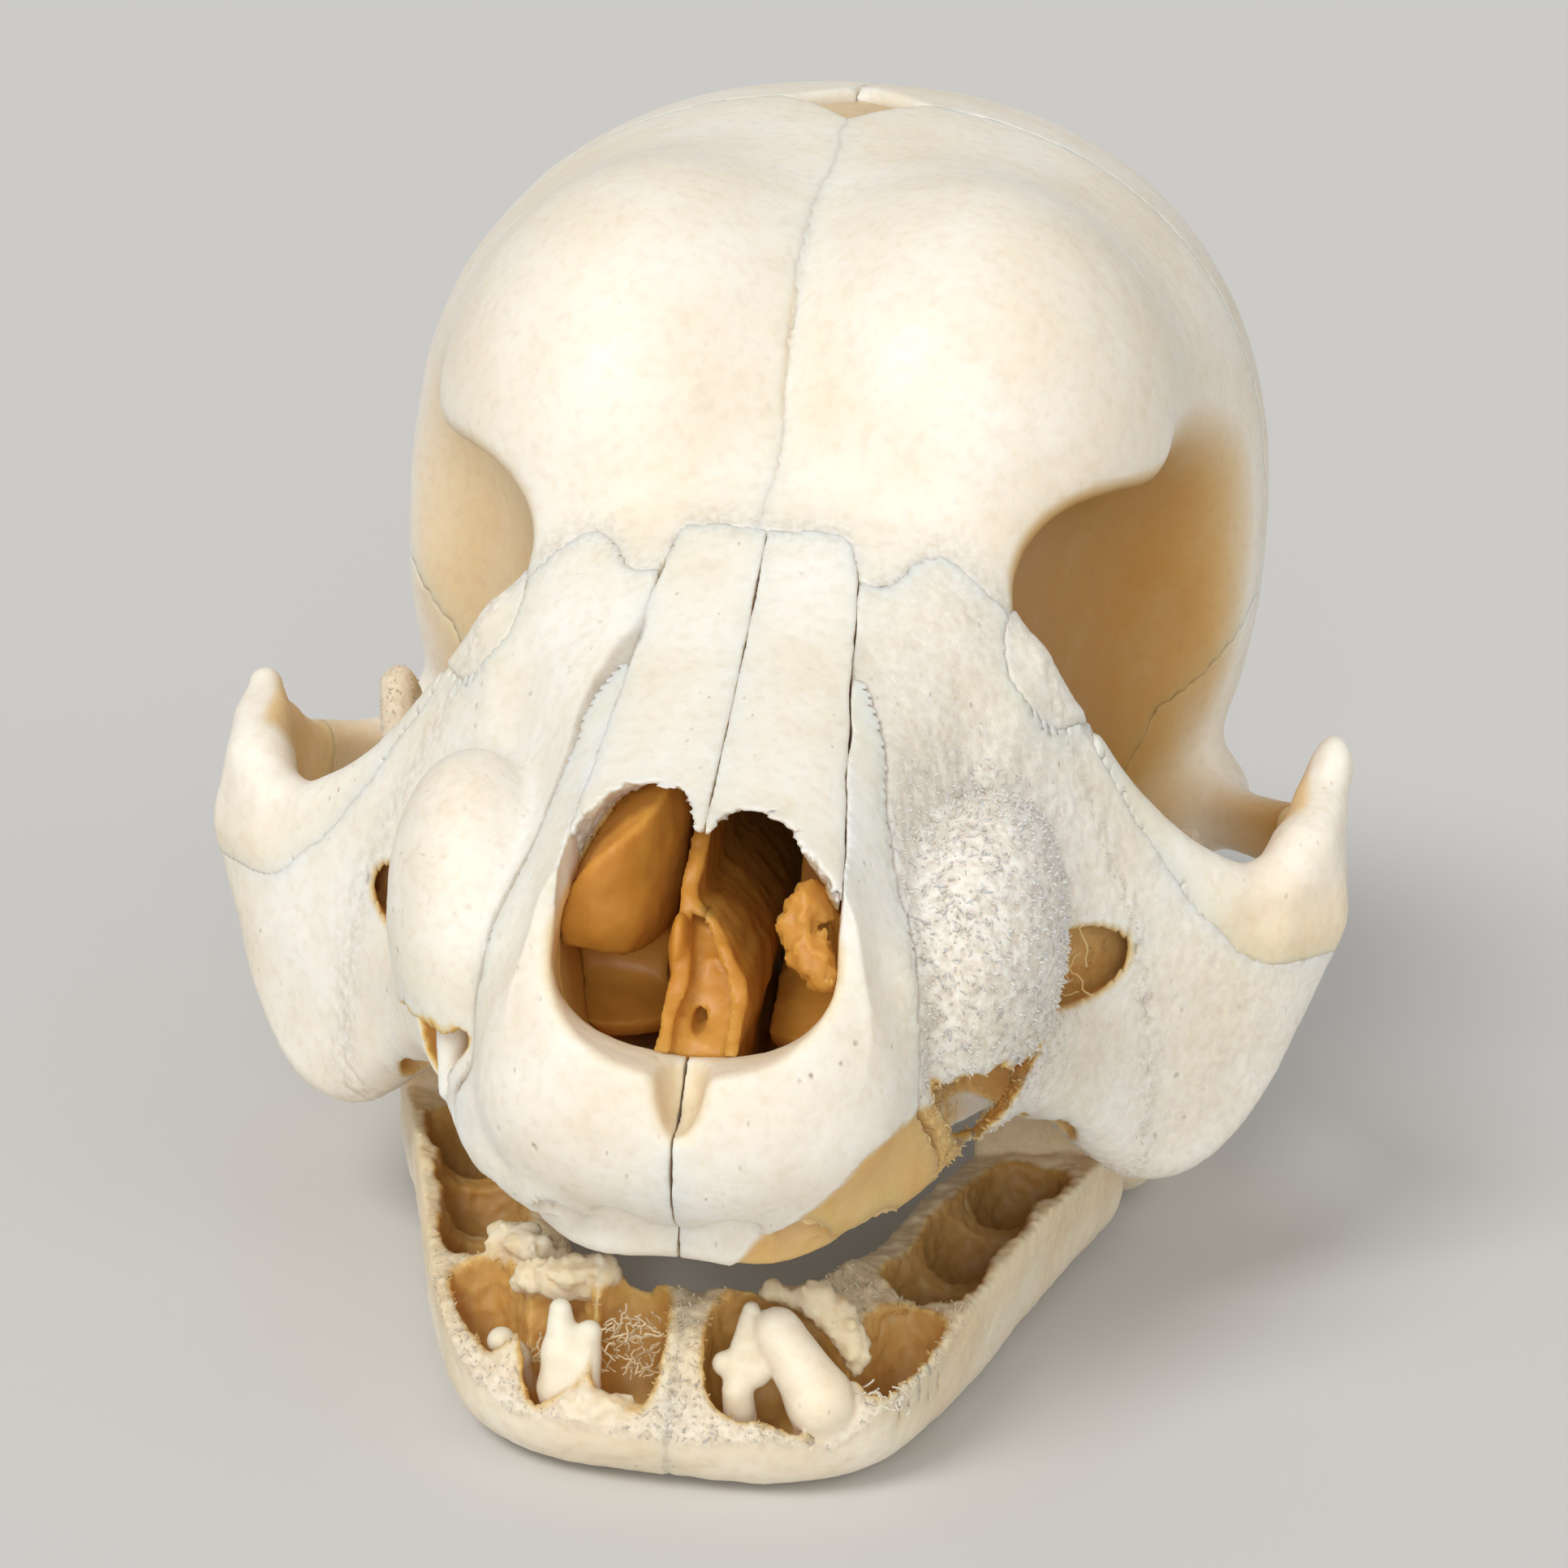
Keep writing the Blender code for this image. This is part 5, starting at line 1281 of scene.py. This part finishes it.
def makePiece(name, tree, slot, values, mesh=None):
    # Turns what the nodes make into a plain mesh that rides on the skull
    piece = bpy.data.objects.new(name, mesh or bpy.data.meshes.new(name))
    bpy.context.scene.collection.objects.link(piece)
    modifier = piece.modifiers.new("Nodes", "NODES")
    modifier.node_group = tree
    values = {**values, "Material": slotMaterials[slot]}
    for item in tree.interface.items_tree:
        if item.in_out == "INPUT" and item.name in values:
            modifier[item.identifier] = values[item.name]
    bpy.context.view_layer.update()
    made = piece.evaluated_get(bpy.context.evaluated_depsgraph_get())
    mesh = bpy.data.meshes.new_from_object(made)
    piece.modifiers.remove(modifier)
    piece.data = mesh
    mesh.name = name
    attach(piece, "root")
    stage(f"{name}: {len(mesh.polygons)} faces")
    return piece


def makeBone(name, node, side, bone):
    _, form, looks, _, slot, cell, gap, low, high = bone
    if side < 0:
        low, high = (-high[0], *low[1:]), (-low[0], *high[1:])
    shape = Shape(name)
    shape.finish(form(shape, side), looks(shape), level=0 if slot == "bone_thin" else 1)
    piece = makePiece(name, shape.tree, slot, {
        "Low corner": inRow(low), "High corner": inRow(high), "Cell size": cell * mm,
        "Suture gap": gap, "Relief": 1.0})
    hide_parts(node)


def makeSkull():
    bpy.data.collections.new("guides")
    for name, bone in bones.items():
        for word, suffix, side in bone[3]:
            makeBone(name + word, bone[0] + suffix, side, bone)
    for guide in list(bpy.data.collections["guides"].objects):
        bpy.data.objects.remove(guide)


# Bristles and threads of loose bone

bristles = {
    # bone: how many on a square millimetre where it is grainy, their length in mm, and the seed
    "maxillaLeft": (27, 0.19, 3),
    "premaxillaLeft": (16, 0.12, 4),
    "mandibleLeft": (26, 0.17, 5),
    "mandibleRight": (22, 0.15, 6),
}
# The thickness is a share of the length, and the lean that of the bristles from upright
bristleShape = {"Thickness": 0.22, "Lean": 1.3, "Least grain": 0.45}


def bristleTree():
    # Small spindles that lean every way from the grainy part of a bone
    tree, given = makeTree(
        "bristles", ("Bone", "Object"), ("Per square metre", "Float"), ("Length", "Float"), ("Thickness", "Float"),
        ("Lean", "Float"), ("Least grain", "Float"), ("Seed", "Int"), ("Material", "Material"))

    def add(kind, *inputs, **settings):
        return addNode(tree, kind, *inputs, **settings).outputs

    def maths(operation, first, second):
        return add("ShaderNodeMath", (0, first), (1, second), operation=operation)[0]

    def scaled(vector, scale):
        return add("ShaderNodeVectorMath", (0, vector), ("Scale", scale), operation="SCALE")[0]

    seed, length = given["Seed"], given["Length"]
    bone = add("GeometryNodeObjectInfo", ("Object", given["Bone"]))["Geometry"]
    grain = add("GeometryNodeInputNamedAttribute", ("Name", "grain"))[0]
    share = add("ShaderNodeMapRange", ("Value", grain), ("From Min", given["Least grain"]))[0]
    scatter = add("GeometryNodeDistributePointsOnFaces", ("Mesh", bone), ("Density", given["Per square metre"]),
                  ("Seed", seed))
    chance = add("FunctionNodeRandomValue", ("Seed", seed), data_type="FLOAT")[1]
    kept = add("GeometryNodeDeleteGeometry", ("Geometry", scatter["Points"]),
               ("Selection", maths("GREATER_THAN", chance, share)))[0]
    spin = add("FunctionNodeRandomValue", ("Min", (-1, -1, -1)), ("Max", (1, 1, 1)), ("Seed", seed),
               data_type="FLOAT_VECTOR")[0]
    spin = scaled(spin, given["Lean"])
    ahead = add("ShaderNodeVectorMath", (0, scatter["Normal"]), (1, spin), operation="ADD")[0]
    aim = add("FunctionNodeAlignRotationToVector", ("Vector", ahead), axis="Z")[0]
    width = maths("MULTIPLY", length, given["Thickness"])
    size = add("ShaderNodeCombineXYZ", ("X", width), ("Y", width), ("Z", length))[0]
    # Inputs 2 and 3 are the least and the most
    vary = add("FunctionNodeRandomValue", (2, 0.5), (3, 1.3), ("Seed", seed), data_type="FLOAT")[1]
    spindle = add("GeometryNodeMeshIcoSphere", ("Radius", 1.0), ("Subdivisions", 1))[0]
    placed = add("GeometryNodeInstanceOnPoints", ("Points", kept), ("Instance", spindle), ("Rotation", aim),
                 ("Scale", scaled(size, vary)))[0]
    endTree(tree, placed, given["Material"])
    return tree


def makeBristles():
    tree = bristleTree()
    for name, (count, length, seed) in bristles.items():
        slot = "bone_jaw" if name.startswith("mandible") else "bone_face"
        makePiece(name + "Bristles", tree, slot, {
            "Bone": bpy.data.objects[name], "Per square metre": count / mm ** 2,
            "Length": length * mm, "Seed": seed, **bristleShape})


threads = {
    # where a net of threads hangs: its middle and reach in mm, how many, how long, their tone, and the seed
    "spongyCrypt": ((-1.35, 4.4, -4.5), (0.75, 0.4, 0.75), 80, 0.5, 0.4, 11),
    "besideCanine": ((-3.9, 4.6, -4.9), (0.4, 0.4, 0.5), 16, 0.5, 0.4, 12),
    "leftRim": ((5.4, 3.9, -5.0), (1.1, 0.4, 0.25), 26, 0.4, 0.0, 13),
    "leftForamen": ((9.3, 13.0, 4.7), (0.7, 0.6, 0.8), 12, 1.2, 0.65, 14),
    "rightForamen": ((-9.4, 13.2, 4.7), (0.6, 0.5, 0.7), 8, 1.0, 0.5, 15),
}
threadShape = {"radius": 0.028, "wander": 0.64, "waves": 2.2, "points": 7, "sides": 5}


def threadTree():
    # Round threads along the edges of a mesh
    tree, given = makeTree("threads", ("Edges", "Geometry"), ("Radius", "Float"), ("Wander", "Float"),
                           ("Sides", "Int"), ("Material", "Material"))

    def add(kind, *inputs, **settings):
        return addNode(tree, kind, *inputs, **settings).outputs[0]

    curve = add("GeometryNodeMeshToCurve", ("Mesh", given["Edges"]))
    curve = add("GeometryNodeResampleCurve", ("Curve", curve), ("Count", threadShape["points"]))
    noise = addNode(tree, "ShaderNodeTexNoise", ("Scale", threadShape["waves"] / mm)).outputs["Color"]
    centred = add("ShaderNodeVectorMath", (0, noise), (1, (0.5, 0.5, 0.5)), operation="SUBTRACT")
    shift = add("ShaderNodeVectorMath", (0, centred), ("Scale", given["Wander"]), operation="SCALE")
    bent = add("GeometryNodeSetPosition", ("Geometry", curve), ("Offset", shift))
    ring = add("GeometryNodeCurvePrimitiveCircle", ("Resolution", given["Sides"]), ("Radius", given["Radius"]))
    tube = add("GeometryNodeCurveToMesh", ("Curve", bent), ("Profile Curve", ring), ("Fill Caps", True))
    endTree(tree, tube, given["Material"])
    return tree


def makeThreads():
    verts, amber = [], []
    for centre, reach, count, length, tone, seed in threads.values():
        draw = random.Random(seed)
        for _ in range(count):
            start = Vector([middle + draw.uniform(-1, 1) * span for middle, span in zip(centre, reach)])
            run = Vector([draw.uniform(-1, 1), draw.uniform(-0.5, 0.5), draw.uniform(-1, 1)]).normalized()
            half = run * length * draw.uniform(0.3, 0.6)
            verts += [inRow(start - half), inRow(start + half)]
            amber += [tone, tone]
    mesh = bpy.data.meshes.new("boneThreads")
    mesh.from_pydata(verts, [(i, i + 1) for i in range(0, len(verts), 2)], [])
    mesh.attributes.new("amber", "FLOAT", "POINT").data.foreach_set("value", amber)
    look = threadShape
    values = {"Radius": look["radius"] * mm, "Wander": look["wander"] * mm, "Sides": look["sides"]}
    makePiece("boneThreads", threadTree(), "bone_jaw", values, mesh)


# The setting

studio = {
    # the camera's angles in degrees, its distance in mm, and what it aims at, in pixels of the picture
    "camera": {
        "turn": 5.7, "tilt": 15.0, "lean": 3.5, "distance": 95.0, "focalPixels": 4526.0, "aim": (-146.0, -584.0),
        "pictureWidth": 1932, "sensorWidth": 36},
    "wall": (0.80, 0.80, 0.79, 1),
    "floor": (0.66, 0.65, 0.63, 1),
    "floorReach": 6.0,
    "floorRoughness": 0.8,
    "world": 0.55,
    # name: where the light comes from, how wide it is in degrees, and its strength
    "lights": {
        "key": ((-0.5, -0.8, 1.0), 24, 1.5),
        "fill": ((0.9, -0.6, 0.5), 60, 0.3),
        "front": ((0.08, -1.0, 0.28), 30, 1.1),
    },
}


def addObject(name, data):
    made = bpy.data.objects.new(name, data)
    bpy.context.scene.collection.objects.link(made)
    return made


def makeCamera():
    view = studio["camera"]
    turn, tilt, lean = (math.radians(view[name]) for name in ("turn", "tilt", "lean"))
    ahead = Vector((-math.sin(turn) * math.cos(tilt), math.cos(turn) * math.cos(tilt), -math.sin(tilt)))
    level = Vector((math.cos(turn), math.sin(turn), 0))
    upright = level.cross(ahead)
    right = level * math.cos(lean) + upright * math.sin(lean)
    up = upright * math.cos(lean) - level * math.sin(lean)
    across, above = (value * view["distance"] / view["focalPixels"] for value in view["aim"])
    camera = addObject("camera", bpy.data.cameras.new("camera"))
    camera.matrix_world = Matrix((right, up, -ahead)).transposed().to_4x4()
    camera.location = inRow(-(right * across) - (up * above) - ahead * view["distance"])
    camera.data.sensor_width = view["sensorWidth"]
    camera.data.lens = view["focalPixels"] / view["pictureWidth"] * view["sensorWidth"]
    camera.data.clip_start = 0.005
    bpy.context.scene.camera = camera


def makeStudio():
    # Wide suns light the floor evenly out to its end
    for name, (source, angle, strength) in studio["lights"].items():
        light = addObject(name, bpy.data.lights.new(name, "SUN"))
        light.location = Vector(source) * 0.3
        light.rotation_euler = (-light.location).to_track_quat("-Z", "Y").to_euler()
        light.data.angle = math.radians(angle)
        light.data.energy = strength
    world = bpy.data.worlds.new("studio")
    bpy.context.scene.world = world
    world.use_nodes = True
    world.node_tree.nodes["Background"].inputs["Color"].default_value = studio["wall"]
    world.node_tree.nodes["Background"].inputs["Strength"].default_value = studio["world"]
    bpy.context.scene.view_settings.view_transform = "Standard"
    mesh = bpy.data.meshes.new("floor")
    reach = studio["floorReach"]
    corners = [(-reach, -reach, 0), (reach, -reach, 0), (reach, reach, 0), (-reach, reach, 0)]
    mesh.from_pydata(corners, [], [(0, 1, 2, 3)])
    material = bpy.data.materials.new("floor")
    material.use_nodes = True
    shader = material.node_tree.nodes["Principled BSDF"]
    shader.inputs["Base Color"].default_value = studio["floor"]
    shader.inputs["Roughness"].default_value = studio["floorRoughness"]
    mesh.materials.append(material)
    addObject("floor", mesh)


slotMaterials = {slot: boneMaterial(slot, finish) for slot, finish in boneFinishes.items()}
makeSkull()
makeBristles()
makeThreads()
makeCamera()
makeStudio()
stage("skull, camera and lights are made")
